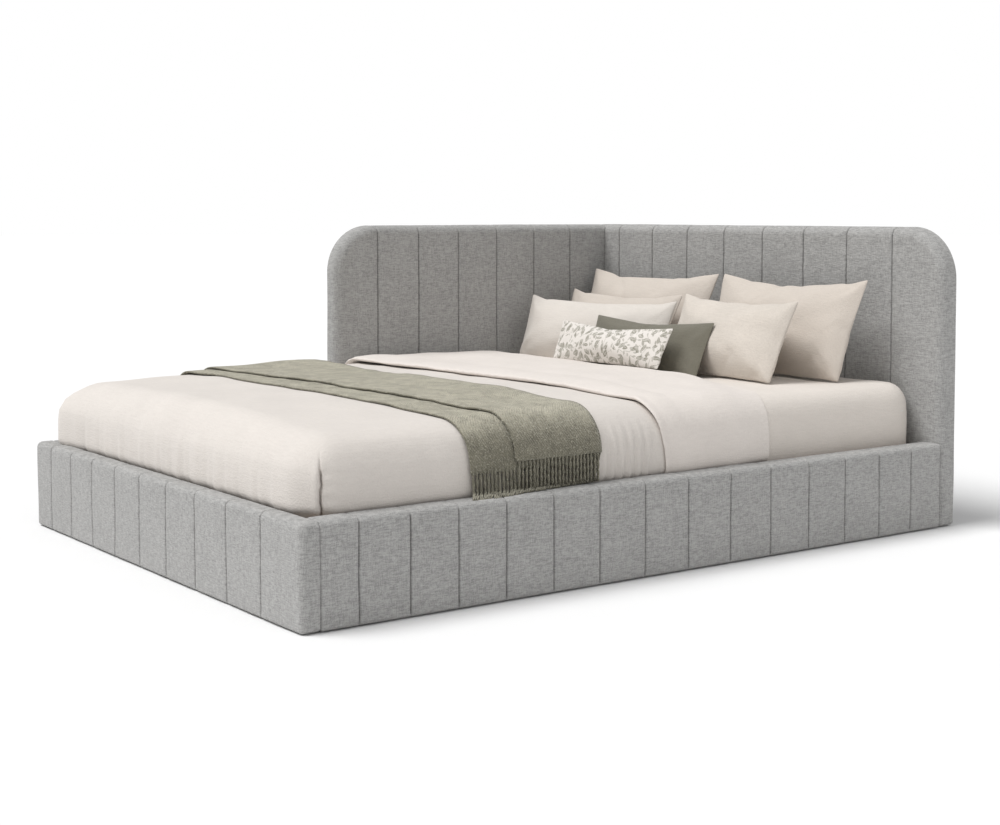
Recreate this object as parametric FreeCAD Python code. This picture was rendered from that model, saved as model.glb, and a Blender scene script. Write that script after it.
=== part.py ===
import FreeCAD, Part
import math
import os

# Upholstered corner platform bed for a 140 x 200 cm mattress, in millimetres.
# The origin is on the floor under the middle of the footprint. +Y points to the
# headboard, +X to the open long side, and the tall side panel stands at -X.

# ---- driving dimensions -------------------------------------------------
WIDTH = 1575.0
LENGTH = 2150.0
HEIGHT = 865.0
RAIL_HEIGHT = 245.0
HEADBOARD_DEPTH = 65.0
PANEL_DEPTH = 60.0
PANEL_LENGTH = 1115.0
FOOT_RAIL_DEPTH = 50.0
NEAR_RAIL_DEPTH = 65.0
FAR_RAIL_DEPTH = 60.0
CORNER_RADIUS = 150.0

# upholstery: a foam and fabric cover around a timber or board core
GLIDE_HEIGHT = 3.0
COVER_WRAP = 10.0
RAIL_BOARD = 30.0
FRAME_DEPTH = 42.0
FACE_BOARD = 5.0
LINING = 2.0
TIMBER_WIDTH = 60.0
BOTTOM_TIMBER = 90.0
ROLL_RADIUS = 15.0

# mattress and its base
MATTRESS_WIDTH = 1400.0
MATTRESS_LENGTH = 2000.0
MATTRESS_HEIGHT = 220.0
MATTRESS_CORNER = 45.0
SLAT_TOP = 195.0
SLAT_THICKNESS = 18.0
SLAT_WIDTH = 70.0
SLAT_COUNT = 15
SLAT_BEARING = 22.0
LEDGER_WIDTH = 25.0
LEDGER_HEIGHT = 30.0
TAPE_THICKNESS = 2.0
TAPE_WIDTH = 25.0
BEAM_WIDTH = 40.0
BEAM_HEIGHT = 60.0
HANGER_STEEL = 3.0
LEG_SIZE = 40.0
LEG_PAD_RADIUS = 24.0
LEG_PAD_HEIGHT = 8.0
LEG_OFFSET = 340.0
GLIDE_RADIUS = 12.0

# steel fittings
BRACKET_LEG = 60.0
BRACKET_STEEL = 3.0
BRACKET_BOTTOM = 35.0
BRACKET_HEIGHT = 70.0
BOLT_RADIUS = 3.0
BOLT_HEAD_RADIUS = 6.5
BOLT_HEAD_HEIGHT = 4.0
BOLT_CLEARANCE = 0.4
BOLT_BITE = 20.0
PANEL_BOLT_RADIUS = 4.0
PANEL_BOLT_HEAD_RADIUS = 7.5
PANEL_BOLT_HEAD_HEIGHT = 6.0
PANEL_BOLT_BITE = 45.0
PANEL_BOLT_HEIGHTS = (270.0, 510.0, 750.0)

# bedding
SHEET = 2.0
SHEET_HEM = 215.0
DUVET_THICKNESS = 31.0
DUVET_SIDE = 13.5
DUVET_HEM = 224.0
DUVET_HEAD_END = 500.0
DUVET_CORNER = 55.0
BAND_FOLD = 0.0
BAND_THICKNESS = 10.0
BAND_SIDE = 6.0
BAND_HEM = 246.0
THROW_LAYER = 6.0
THROW_LOWER_FOOT = -600.0
THROW_UPPER_FOOT = -467.0
THROW_HEAD = -210.0
THROW_DROP = 320.0
FRINGE_TIP = 247.0
FRINGE_SPREAD = 40.0

# ---- places worked out from the dimensions ------------------------------
LEFT = -WIDTH / 2
RIGHT = WIDTH / 2
FOOT = -LENGTH / 2
HEAD = LENGTH / 2
HEADBOARD_FRONT = HEAD - HEADBOARD_DEPTH
PANEL_FACE = LEFT + PANEL_DEPTH
PANEL_FOOT = HEADBOARD_FRONT - PANEL_LENGTH
FOOT_RAIL_INNER = FOOT + FOOT_RAIL_DEPTH
NEAR_RAIL_INNER = RIGHT - NEAR_RAIL_DEPTH
FAR_RAIL_INNER = LEFT + FAR_RAIL_DEPTH
WELL_MIDDLE = (FAR_RAIL_INNER + NEAR_RAIL_INNER) / 2
SLAT_BOTTOM = SLAT_TOP - SLAT_THICKNESS
BEAM_BOTTOM = SLAT_BOTTOM - BEAM_HEIGHT
MATTRESS_BOTTOM = SLAT_TOP + TAPE_THICKNESS
MATTRESS_TOP = MATTRESS_BOTTOM + MATTRESS_HEIGHT
SHEET_TOP = MATTRESS_TOP + SHEET
DUVET_TOP = SHEET_TOP + DUVET_THICKNESS
BAND_TOP = DUVET_TOP + BAND_THICKNESS

nodes = {}


# ---- small helpers ------------------------------------------------------
def vec(x, y, z):
    return FreeCAD.Vector(x, y, z)


def box(x, y, z):
    """A box from three (low, high) pairs."""
    size = [high - low for low, high in (x, y, z)]
    return Part.makeBox(size[0], size[1], size[2], vec(x[0], y[0], z[0]))


def rod(start, direction, radius, length):
    return Part.makeCylinder(radius, length, start, direction)


def group(shapes):
    return Part.makeCompound(shapes)


def rounded(shape, radius, chosen):
    """Fillets the edges whose middle point satisfies chosen(point)."""
    edges = []
    for edge in shape.Edges:
        middle = edge.valueAt((edge.FirstParameter + edge.LastParameter) / 2)
        if chosen(middle):
            edges.append(edge)
    return shape.makeFillet(radius, edges)


def near(a, b):
    return abs(a - b) < 0.01


def drill(names, start, direction, radius, length):
    """Cuts one round hole through every named node."""
    tool = rod(start, direction, radius, length)
    for name in names:
        nodes[name] = nodes[name].cut(tool)


# ---- headboard and side panel -------------------------------------------
def panel_face(place, butt, free, bottom, top, radius):
    """An upright face with a rounded top corner at its free end."""
    out = 1 if free > butt else -1
    inset = radius * (1 - math.cos(math.pi / 4))
    low_butt = place(butt, bottom)
    low_free = place(free, bottom)
    arc_start = place(free, top - radius)
    arc_middle = place(free - out * inset, top - inset)
    arc_end = place(free - out * radius, top)
    high_butt = place(butt, top)
    edges = [
        Part.makeLine(low_butt, low_free),
        Part.makeLine(low_free, arc_start),
        Part.Arc(arc_start, arc_middle, arc_end).toShape(),
        Part.makeLine(arc_end, high_butt),
        Part.makeLine(high_butt, low_butt),
    ]
    return Part.Face(Part.Wire(edges))


def build_panel(name, place, inward, butt, free, depth):
    """One tall panel: cover, face board, timber frame, corner block and lining.

    place maps (along, height) to a point on the padded face, and inward is the
    unit vector from the padded face into the panel.
    """
    out = 1 if free > butt else -1
    pad = depth - FRAME_DEPTH

    def layer(start, thickness, wrap):
        face = panel_face(
            place,
            butt + out * wrap,
            free - out * wrap,
            GLIDE_HEIGHT + wrap,
            HEIGHT - wrap,
            CORNER_RADIUS - wrap,
        )
        face.translate(inward * start)
        return face.extrude(inward * thickness)

    def timber(along, height):
        low = place(min(along), height[0]) + inward * (pad + FACE_BOARD)
        high = place(max(along), height[1]) + inward * (depth - LINING)
        x, y, z = [sorted(pair) for pair in zip(low, high)]
        return box(x, y, z)

    outer = layer(0, depth, 0)
    face_middle = place(0, 0)

    def on_padded_face(point):
        off = abs((point - face_middle).dot(inward))
        return off < 0.01 and point.z > GLIDE_HEIGHT + 1

    outer = rounded(outer, ROLL_RADIUS, on_padded_face)
    cover = outer.cut(layer(pad, depth, COVER_WRAP))
    nodes[name + "_cover"] = cover
    nodes[name + "_face_board"] = layer(pad, FACE_BOARD, COVER_WRAP)
    nodes[name + "_back_lining"] = layer(depth - LINING, LINING, COVER_WRAP)

    low = GLIDE_HEIGHT + COVER_WRAP
    high = HEIGHT - COVER_WRAP
    arc_foot = HEIGHT - CORNER_RADIUS
    first = butt + out * COVER_WRAP
    last = free - out * COVER_WRAP
    inner_first = first + out * TIMBER_WIDTH
    inner_last = last - out * TIMBER_WIDTH
    block_start = free - out * (CORNER_RADIUS + 20)
    middle = (low + BOTTOM_TIMBER + high - TIMBER_WIDTH) / 2
    nodes[name + "_post_inner"] = timber((first, inner_first), (low, high))
    nodes[name + "_post_outer"] = timber((inner_last, last), (low, arc_foot))
    nodes[name + "_bottom_timber"] = timber((inner_first, inner_last), (low, low + BOTTOM_TIMBER))
    nodes[name + "_middle_timber"] = timber(
        (inner_first, inner_last), (middle - TIMBER_WIDTH / 2, middle + TIMBER_WIDTH / 2)
    )
    nodes[name + "_top_timber"] = timber((inner_first, block_start), (high - TIMBER_WIDTH, high))
    corner = timber((block_start, free), (arc_foot, HEIGHT))
    nodes[name + "_corner_block"] = corner.common(layer(pad, depth, COVER_WRAP))


def build_headboard():
    def place(along, height):
        return vec(along, HEADBOARD_FRONT, height)

    build_panel("headboard", place, vec(0, 1, 0), LEFT, RIGHT, HEADBOARD_DEPTH)


def build_side_panel():
    def place(along, height):
        return vec(PANEL_FACE, along, height)

    build_panel("side_panel", place, vec(-1, 0, 0), HEADBOARD_FRONT, PANEL_FOOT, PANEL_DEPTH)


def build_panel_bolts():
    """Three bolts through the headboard's post into the side panel's end post."""
    across = LEFT + LINING + (FRAME_DEPTH - LINING - FACE_BOARD) / 2
    head_seat = HEAD - LINING - PANEL_BOLT_HEAD_HEIGHT - 4
    tip = HEADBOARD_FRONT - COVER_WRAP - PANEL_BOLT_BITE
    bolts = []
    for height in PANEL_BOLT_HEIGHTS:
        seat = vec(across, head_seat, height)
        back = vec(0, -1, 0)
        through = ("headboard_post_inner", "headboard_face_board", "headboard_cover")
        into = ("side_panel_cover", "side_panel_post_inner")
        hole = PANEL_BOLT_RADIUS + BOLT_CLEARANCE
        drill(through + into, seat, back, hole, head_seat - tip + 2)
        bore = PANEL_BOLT_HEAD_RADIUS + 1.5
        drill(("headboard_post_inner",), seat, vec(0, 1, 0), bore, 20)
        shank = rod(seat, back, PANEL_BOLT_RADIUS, head_seat - tip)
        head = rod(seat, vec(0, 1, 0), PANEL_BOLT_HEAD_RADIUS, PANEL_BOLT_HEAD_HEIGHT)
        bolts.append(shank.fuse(head))
    nodes["panel_bolts"] = group(bolts)


# ---- low rails ----------------------------------------------------------
def build_rail(name, x, y, open_side, outer_edges):
    """A padded rail around a board that is flush with its open inner side."""
    low, high = GLIDE_HEIGHT, RAIL_HEIGHT
    outer = rounded(box(x, y, (low, high)), ROLL_RADIUS, outer_edges)
    board_x, board_y = list(x), list(y)
    if open_side[0]:
        board_y = [y[0] + COVER_WRAP, y[1] - COVER_WRAP]
        inner = x[1] if open_side[0] > 0 else x[0]
        board_x = sorted((inner, inner - open_side[0] * RAIL_BOARD))
    else:
        board_x = [x[0] + COVER_WRAP, x[1] - COVER_WRAP]
        inner = y[1] if open_side[1] > 0 else y[0]
        board_y = sorted((inner, inner - open_side[1] * RAIL_BOARD))
    board = box(board_x, board_y, (low + COVER_WRAP, high - COVER_WRAP))
    nodes[name + "_cover"] = outer.cut(board)
    nodes[name + "_board"] = board


def build_rails():
    def foot_edges(point):
        top_front = near(point.y, FOOT) and near(point.z, RAIL_HEIGHT)
        corner = near(point.y, FOOT) and near(abs(point.x), RIGHT)
        ends = near(abs(point.x), RIGHT) and near(point.z, RAIL_HEIGHT)
        return top_front or corner or ends

    def near_edges(point):
        return near(point.x, RIGHT) and near(point.z, RAIL_HEIGHT)

    def far_edges(point):
        return near(point.x, LEFT) and near(point.z, RAIL_HEIGHT)

    build_rail("foot_rail", (LEFT, RIGHT), (FOOT, FOOT_RAIL_INNER), (0, 1), foot_edges)
    build_rail(
        "near_rail",
        (NEAR_RAIL_INNER, RIGHT),
        (FOOT_RAIL_INNER, HEADBOARD_FRONT),
        (-1, 0),
        near_edges,
    )
    build_rail(
        "far_rail", (LEFT, FAR_RAIL_INNER), (FOOT_RAIL_INNER, PANEL_FOOT), (1, 0), far_edges
    )


# ---- steel brackets and their bolts -------------------------------------
def bracket_heights():
    quarter = BRACKET_HEIGHT / 4
    return (BRACKET_BOTTOM + quarter, BRACKET_BOTTOM + 3 * quarter)


def bolt(start, direction, length, through):
    """A cap bolt whose head stands on start, with its holes drilled."""
    drill(through, start, direction, BOLT_RADIUS + BOLT_CLEARANCE, length + 1)
    shank = rod(start, direction, BOLT_RADIUS, length)
    head = rod(start, direction * -1, BOLT_HEAD_RADIUS, BOLT_HEAD_HEIGHT)
    return shank.fuse(head)


def corner_bracket(name, corner_x, corner_y, side, end, side_parts, end_parts):
    """An L of sheet steel in an inner corner of the rails, and its four bolts.

    side and end are +1 or -1 and point from the corner into the mattress well.
    """
    steel = BRACKET_STEEL
    z = (BRACKET_BOTTOM, BRACKET_BOTTOM + BRACKET_HEIGHT)
    reach_x = sorted((corner_x, corner_x + side * BRACKET_LEG))
    reach_y = sorted((corner_y, corner_y + end * BRACKET_LEG))
    thin_x = sorted((corner_x, corner_x + side * steel))
    thin_y = sorted((corner_y, corner_y + end * steel))
    nodes[name] = box(reach_x, thin_y, z).fuse(box(thin_x, reach_y, z)).removeSplitter()
    bolts = []
    for height in bracket_heights():
        side_start = vec(corner_x + side * steel, corner_y + end * BRACKET_LEG * 0.6, height)
        end_start = vec(corner_x + side * BRACKET_LEG * 0.6, corner_y + end * steel, height)
        side_length = steel + BOLT_BITE + side_parts[0]
        end_length = steel + BOLT_BITE + end_parts[0]
        bolts.append(bolt(side_start, vec(-side, 0, 0), side_length, (name,) + side_parts[1]))
        bolts.append(bolt(end_start, vec(0, -end, 0), end_length, (name,) + end_parts[1]))
    return bolts


def build_brackets():
    """Each rail or panel is given as (soft depth before its timber, pierced nodes)."""
    near_rail = (0, ("near_rail_board",))
    far_rail = (0, ("far_rail_board",))
    foot_rail = (0, ("foot_rail_board",))
    headboard_soft = HEADBOARD_DEPTH - FRAME_DEPTH + FACE_BOARD
    panel_soft = PANEL_DEPTH - FRAME_DEPTH + FACE_BOARD
    headboard = (
        headboard_soft,
        (
            "headboard_cover",
            "headboard_face_board",
            "headboard_bottom_timber",
            "headboard_post_inner",
            "headboard_post_outer",
        ),
    )
    panel = (
        panel_soft,
        (
            "side_panel_cover",
            "side_panel_face_board",
            "side_panel_bottom_timber",
            "side_panel_post_inner",
            "side_panel_post_outer",
        ),
    )
    bolts = []
    foot, head = FOOT_RAIL_INNER, HEADBOARD_FRONT
    right, left = NEAR_RAIL_INNER, FAR_RAIL_INNER
    bolts += corner_bracket("bracket_foot_near", right, foot, -1, 1, near_rail, foot_rail)
    bolts += corner_bracket("bracket_foot_far", left, foot, 1, 1, far_rail, foot_rail)
    bolts += corner_bracket("bracket_head_near", right, head, -1, -1, near_rail, headboard)
    bolts += corner_bracket("bracket_head_far", left, head, 1, -1, panel, headboard)

    half = 100.0
    z = (BRACKET_BOTTOM, BRACKET_BOTTOM + BRACKET_HEIGHT)
    x = (FAR_RAIL_INNER, FAR_RAIL_INNER + BRACKET_STEEL)
    nodes["splice_plate"] = box(x, (PANEL_FOOT - half, PANEL_FOOT + half), z)
    for height in bracket_heights():
        for offset in (-half * 0.6, half * 0.6):
            start = vec(x[1], PANEL_FOOT + offset, height)
            soft, pierced = panel if offset > 0 else far_rail
            length = BRACKET_STEEL + BOLT_BITE + soft
            bolts.append(bolt(start, vec(-1, 0, 0), length, ("splice_plate",) + pierced))
    nodes["bracket_bolts"] = group(bolts)


# ---- slatted base -------------------------------------------------------
def build_base():
    ledger_z = (SLAT_BOTTOM - LEDGER_HEIGHT, SLAT_BOTTOM)
    ledger_y = (FOOT_RAIL_INNER + 10, HEADBOARD_FRONT - 10)
    near_x = (NEAR_RAIL_INNER - LEDGER_WIDTH, NEAR_RAIL_INNER)
    far_x = (FAR_RAIL_INNER, FAR_RAIL_INNER + LEDGER_WIDTH)
    nodes["near_ledger"] = box(near_x, ledger_y, ledger_z)
    nodes["far_ledger"] = box(far_x, ledger_y, ledger_z)

    slat_x = (far_x[1] - SLAT_BEARING, near_x[0] + SLAT_BEARING)
    first = ledger_y[0] + 10
    pitch = (ledger_y[1] - 10 - SLAT_WIDTH - first) / (SLAT_COUNT - 1)
    slats = []
    for index in range(SLAT_COUNT):
        start = first + index * pitch
        slats.append(box(slat_x, (start, start + SLAT_WIDTH), (SLAT_BOTTOM, SLAT_TOP)))
    nodes["slats"] = group(slats)

    tapes = []
    for middle in (WELL_MIDDLE - MATTRESS_WIDTH / 4, WELL_MIDDLE + MATTRESS_WIDTH / 4):
        tape_x = (middle - TAPE_WIDTH / 2, middle + TAPE_WIDTH / 2)
        tape_y = (first, first + (SLAT_COUNT - 1) * pitch + SLAT_WIDTH)
        tapes.append(box(tape_x, tape_y, (SLAT_TOP, SLAT_TOP + TAPE_THICKNESS)))
    nodes["slat_tapes"] = group(tapes)


def beam_hanger(wall, inward):
    """A folded steel stirrup that carries one end of the beam."""
    steel = HANGER_STEEL
    half = BEAM_WIDTH / 2
    plate_y = sorted((wall, wall + inward * steel))
    seat_y = sorted((wall, wall + inward * 45))
    wide = (WELL_MIDDLE - half - 20, WELL_MIDDLE + half + 20)
    plate = box(wide, plate_y, (BEAM_BOTTOM - steel, SLAT_BOTTOM - 5))
    outline = (WELL_MIDDLE - half - steel, WELL_MIDDLE + half + steel)
    stirrup = box(outline, seat_y, (BEAM_BOTTOM - steel, BEAM_BOTTOM + 40))
    room = box(
        (WELL_MIDDLE - half, WELL_MIDDLE + half),
        (wall - 100, wall + 100),
        (BEAM_BOTTOM, SLAT_BOTTOM),
    )
    return plate.fuse(stirrup.cut(room)).removeSplitter()


def build_beam():
    half = BEAM_WIDTH / 2
    beam_x = (WELL_MIDDLE - half, WELL_MIDDLE + half)
    beam_y = (FOOT_RAIL_INNER + HANGER_STEEL, HEADBOARD_FRONT - HANGER_STEEL)
    nodes["centre_beam"] = box(beam_x, beam_y, (BEAM_BOTTOM, SLAT_BOTTOM))
    nodes["beam_hanger_foot"] = beam_hanger(FOOT_RAIL_INNER, 1)
    nodes["beam_hanger_head"] = beam_hanger(HEADBOARD_FRONT, -1)
    for name, y in (("foot", -LEG_OFFSET), ("head", LEG_OFFSET)):
        leg_y = (y - LEG_SIZE / 2, y + LEG_SIZE / 2)
        nodes["centre_leg_" + name] = box(beam_x, leg_y, (LEG_PAD_HEIGHT, BEAM_BOTTOM))
        foot = vec(WELL_MIDDLE, y, 0)
        nodes["leg_pad_" + name] = rod(foot, vec(0, 0, 1), LEG_PAD_RADIUS, LEG_PAD_HEIGHT)


def build_glides():
    """Round felt glides under the outer shell, one group for each straight run."""
    headboard_y = HEAD - HEADBOARD_DEPTH / 2
    foot_y = FOOT + FOOT_RAIL_DEPTH / 2
    near_x = RIGHT - NEAR_RAIL_DEPTH / 2
    far_x = LEFT + FAR_RAIL_DEPTH / 2
    runs = {
        "glides_headboard": [(x, headboard_y) for x in (-700, -350, 0, 350, 700)],
        "glides_foot_rail": [(x, foot_y) for x in (-700, -350, 0, 350, 700)],
        "glides_near_rail": [(near_x, y) for y in (-850, -425, 0, 425, 850)],
        "glides_far_side": [(far_x, y) for y in (-850, -425, 0, 425, 850)],
    }
    for name, places in runs.items():
        up = vec(0, 0, 1)
        glides = [rod(vec(x, y, 0), up, GLIDE_RADIUS, GLIDE_HEIGHT) for x, y in places]
        nodes[name] = group(glides)


# ---- mattress and bedding -----------------------------------------------
def bed_block(grow, top, bottom, corner, edge):
    """The mattress outline grown sideways by grow, with rounded corners and top."""
    half_x = MATTRESS_WIDTH / 2 + grow
    half_y = MATTRESS_LENGTH / 2 + grow
    x = (WELL_MIDDLE - half_x, WELL_MIDDLE + half_x)
    block = box(x, (-half_y, half_y), (bottom, top))

    def upright(point):
        return near(abs(point.x - WELL_MIDDLE), half_x) and near(abs(point.y), half_y)

    def top_edge(point):
        return near(point.z, top)

    return rounded(rounded(block, corner, upright), edge, top_edge)


def across(grow, y, z):
    """A box over the whole bed between two y values."""
    half_x = MATTRESS_WIDTH / 2 + grow
    return box((WELL_MIDDLE - half_x, WELL_MIDDLE + half_x), y, z)


def build_bedding():
    corner = MATTRESS_CORNER
    mattress = bed_block(0, MATTRESS_TOP, MATTRESS_BOTTOM, corner, 20)
    nodes["mattress"] = mattress
    sheet_outer = bed_block(SHEET, SHEET_TOP, SHEET_HEM, corner + SHEET, 20 + SHEET)
    nodes["fitted_sheet"] = sheet_outer.cut(mattress)

    grow = SHEET + DUVET_SIDE
    duvet_outer = bed_block(grow, DUVET_TOP, DUVET_HEM, DUVET_CORNER, 50)
    head_part = across(grow + 50, (DUVET_HEAD_END, HEAD), (0, HEIGHT))
    whole_bed = bed_block(SHEET, SHEET_TOP, MATTRESS_BOTTOM, corner + SHEET, 20 + SHEET)
    nodes["duvet"] = duvet_outer.cut(head_part).cut(whole_bed)

    duvet_filled = bed_block(grow, DUVET_TOP, MATTRESS_BOTTOM, DUVET_CORNER, 50)
    band_outer = bed_block(grow + BAND_SIDE, BAND_TOP, BAND_HEM, DUVET_CORNER, 50)
    band_room = across(grow + 50, (BAND_FOLD, DUVET_HEAD_END), (0, HEIGHT))
    nodes["turned_down_band"] = band_outer.common(band_room).cut(duvet_filled)
    build_throw(grow, duvet_filled)


def fringe(side, inner, layer_y, layer):
    """A slanting skirt of tassels from the end of a throw layer to the rail's top."""
    edge = MATTRESS_WIDTH / 2 + inner
    profile = [
        (edge, THROW_DROP),
        (edge + layer, THROW_DROP),
        (edge + layer + FRINGE_SPREAD, FRINGE_TIP + 12),
        (edge + layer + FRINGE_SPREAD, FRINGE_TIP),
        (edge + FRINGE_SPREAD - 15, FRINGE_TIP),
    ]
    points = [vec(WELL_MIDDLE + side * x, layer_y[0], z) for x, z in profile]
    face = Part.Face(Part.makePolygon(points + points[:1]))
    return face.extrude(vec(0, layer_y[1] - layer_y[0], 0))


def build_throw(grow, duvet_filled):
    """A throw folded lengthwise: a wide lower layer with a narrower one on it."""
    under = duvet_filled
    layers = (
        ("throw_lower", (THROW_LOWER_FOOT, THROW_HEAD), (THROW_LOWER_FOOT, THROW_UPPER_FOOT)),
        ("throw_upper", (THROW_UPPER_FOOT, THROW_HEAD), (THROW_UPPER_FOOT, THROW_HEAD)),
    )
    for index, (name, layer_y, fringe_y) in enumerate(layers, start=1):
        side = grow + index * THROW_LAYER
        top = DUVET_TOP + index * THROW_LAYER
        shell = bed_block(side, top, THROW_DROP, DUVET_CORNER, 50)
        room = across(grow + 100, layer_y, (0, HEIGHT))
        sheet = shell.common(room).cut(under)
        for hand in (-1, 1):
            sheet = sheet.fuse(fringe(hand, side - THROW_LAYER, fringe_y, THROW_LAYER))
        nodes[name] = sheet.removeSplitter()
        under = bed_block(side, top, MATTRESS_BOTTOM, DUVET_CORNER, 50)


# ---- pillows ------------------------------------------------------------
# name: middle of the lower edge (x, y), resting height, turn and lean in
# degrees, then width, height along the lean, and thickness
PILLOWS = {
    "pillow_back_left": ((-373, 838), SHEET_TOP, 0, 20, (613, 300, 90)),
    "pillow_back_right": ((289, 803), SHEET_TOP, 0, 20, (615, 300, 120)),
    "pillow_middle_left": ((-409, 736), SHEET_TOP, 0, 22, (575, 240, 70)),
    "pillow_front_left": ((-347, 612), SHEET_TOP, 9, 22, (635, 215, 76)),
    "pillow_front_right": ((256, 628), SHEET_TOP, -3, 22, (488, 240, 84)),
    "cushion_plain": ((14, 540), SHEET_TOP, 4, 22, (486, 160, 48)),
    "cushion_leaf_print": ((-78, 466), BAND_TOP, 3, 24, (500, 118, 46)),
}


def pillow(place, rest, turn, lean, size):
    """A simple padded block with round edges that leans towards the headboard."""
    width, height, thickness = size
    block = Part.makeBox(width, thickness, height, vec(-width / 2, -thickness / 2, 0))
    block = block.makeFillet(thickness * 0.45, block.Edges)
    lean_back = FreeCAD.Rotation(vec(1, 0, 0), -lean)
    turned = FreeCAD.Rotation(vec(0, 0, 1), turn)
    block.Placement = FreeCAD.Placement(vec(0, 0, 0), turned.multiply(lean_back))
    lift = rest - block.BoundBox.ZMin + 0.5
    block.translate(vec(place[0], place[1], lift))
    return block


def build_pillows():
    for name, (place, rest, turn, lean, size) in PILLOWS.items():
        nodes[name] = pillow(place, rest, turn, lean, size)


# ---- the whole bed ------------------------------------------------------
def main():
    build_headboard()
    build_side_panel()
    build_panel_bolts()
    build_rails()
    build_brackets()
    build_base()
    build_beam()
    build_glides()
    build_bedding()
    build_pillows()
    os.makedirs("parts", exist_ok=True)
    for name, shape in nodes.items():
        shape.exportStep(os.path.join("parts", name + ".step"))
    print(len(nodes), "nodes")


main()
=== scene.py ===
import math
from itertools import product

import bpy
import numpy as np
from mathutils import Matrix, Vector


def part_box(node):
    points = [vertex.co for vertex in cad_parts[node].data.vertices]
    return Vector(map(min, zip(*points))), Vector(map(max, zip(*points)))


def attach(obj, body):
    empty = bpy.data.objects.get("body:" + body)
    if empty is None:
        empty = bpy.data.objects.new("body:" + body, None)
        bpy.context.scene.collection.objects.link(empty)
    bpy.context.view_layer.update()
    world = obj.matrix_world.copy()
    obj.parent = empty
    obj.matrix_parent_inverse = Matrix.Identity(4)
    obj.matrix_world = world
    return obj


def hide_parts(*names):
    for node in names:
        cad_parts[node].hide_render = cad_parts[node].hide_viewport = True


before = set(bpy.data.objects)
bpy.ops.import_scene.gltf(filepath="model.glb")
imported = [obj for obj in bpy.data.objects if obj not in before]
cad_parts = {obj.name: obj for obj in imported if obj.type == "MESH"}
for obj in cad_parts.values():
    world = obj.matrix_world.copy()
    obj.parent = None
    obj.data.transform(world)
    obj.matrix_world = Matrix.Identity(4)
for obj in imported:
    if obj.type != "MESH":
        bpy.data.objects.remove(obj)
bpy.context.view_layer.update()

# The looks of an upholstered corner platform bed, in metres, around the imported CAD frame.
# +Y points to the headboard, +X to the open long side, and the side panel stands at -X.

# ---- upholstery ---------------------------------------------------------
HEADBOARD_FIRST_SEAM = 0.1895
HEADBOARD_SEAM_PITCH = 0.1783
HEADBOARD_SEAMS = 8
FOOT_RAIL_FIRST_SEAM = 0.1175
FOOT_RAIL_SEAM_PITCH = 0.148
FOOT_RAIL_PITCH_GROWTH = 0.0031
FOOT_RAIL_SEAMS = 9
NEAR_RAIL_FIRST_SEAMS = (0.0955, 0.2305)
NEAR_RAIL_WIDEST = 0.1455
NEAR_RAIL_NARROWING = 0.00045
NEAR_RAIL_SEAMS = 14
EVEN_CHANNELS = 7
CORNER_RADIUS = 0.150
TALL_ROLL = 0.027
RAIL_ROLL = 0.015
FLOOR_ROLL = 0.008
BUTT_ROLL = 0.004
MITRE_ROLL = 0.007
COVER_WRAP = 0.010
HEADBOARD_PAD = 0.0225
SIDE_PANEL_PAD = 0.0175
RAIL_BOARD = 0.0305
RAIL_TOP = 0.2455
SEAM_STEPS = (0.0, 0.001, 0.002, 0.003, 0.0045, 0.007, 0.010, 0.015, 0.022, 0.034)
VALLEY_DEPTH = 0.0032
VALLEY_REACH = 0.0095
STITCH_DEPTH = 0.0065
STITCH_REACH = 0.0027
CHANNEL_CROWN = 0.0011
EDGE_RELIEF = 0.45
LINING_THICKNESS = 0.0008
LINING_GAP = 0.0012
STAPLE_PITCH = 0.045
STAPLE_WIDTH = 0.010
STAPLE_WIRE = 0.0006

# ---- bedding ------------------------------------------------------------
BEDDING_SETTLE = 0.006
MATTRESS_CORNER = 0.060
MATTRESS_ROLL = 0.075
MATTRESS_BASE_ROLL = 0.022
PIPING_RADIUS = 0.0020
TUCKED_DRAW = 0.008
QUILT_PITCH = 0.10
QUILT_DEPTH = 0.003
SHEET_TOP = 0.4145
SHEET_GROW = 0.0034
SHEET_HEM = 0.216
SHEET_CLOTH = 0.0012
DUVET_TOP = 0.4330
DUVET_SHOULDER = 0.088
DUVET_HEAD_END = 0.262
DUVET_FAR_CORNER = 0.055
DUVET_NEAR_CORNER = 0.080
DUVET_BELLY = 0.013
DUVET_LOFT = 0.029
DUVET_SIDE_WALL = 0.0125
SLIT_ANGLE = math.radians(31)
SLIT_TOP = 0.358
SLIT_STEPS = (0.012, 0.025, 0.04, 0.06, 0.09, 0.13, 0.18, 0.26)
BAND_LOFT = 0.012
BAND_FRONT = -0.012
BAND_SKEW = 0.085
BAND_REAR = 0.512
BAND_TOP = 0.4375
BAND_SHOULDER = 0.085
BAND_HEM = 0.240
THROW_PLY = 0.0028
THROW_FOOT = -0.600
THROW_UPPER_FOOT = -0.472
THROW_HEAD = -0.210
THROW_SHOULDER = 0.088
THROW_ROOT = 0.299
THROW_UPPER_ROOT = 0.320
THROW_DRIFT = 0.006
THROW_SKEW = 0.045
TASSEL_PITCH = 0.0110
TASSEL_RADIUS = 0.0029

# ---- meshes -------------------------------------------------------------
LEAST_RADIUS = 0.002
TINY = 1e-6
ROLL_STEPS = 6
WALL_STEP = 0.012
REMAP_REACH = 0.030
WAVE_TERMS = 9
CORNER_SIGNS = ((-1, -1), (1, -1), (1, 1), (-1, 1))
# axis, sign, and the corners at the start and end of each side of an outline
BORDER_SIDES = ((0, -1, 0, 3), (0, 1, 1, 2), (1, -1, 0, 1), (1, 1, 3, 2))


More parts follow.
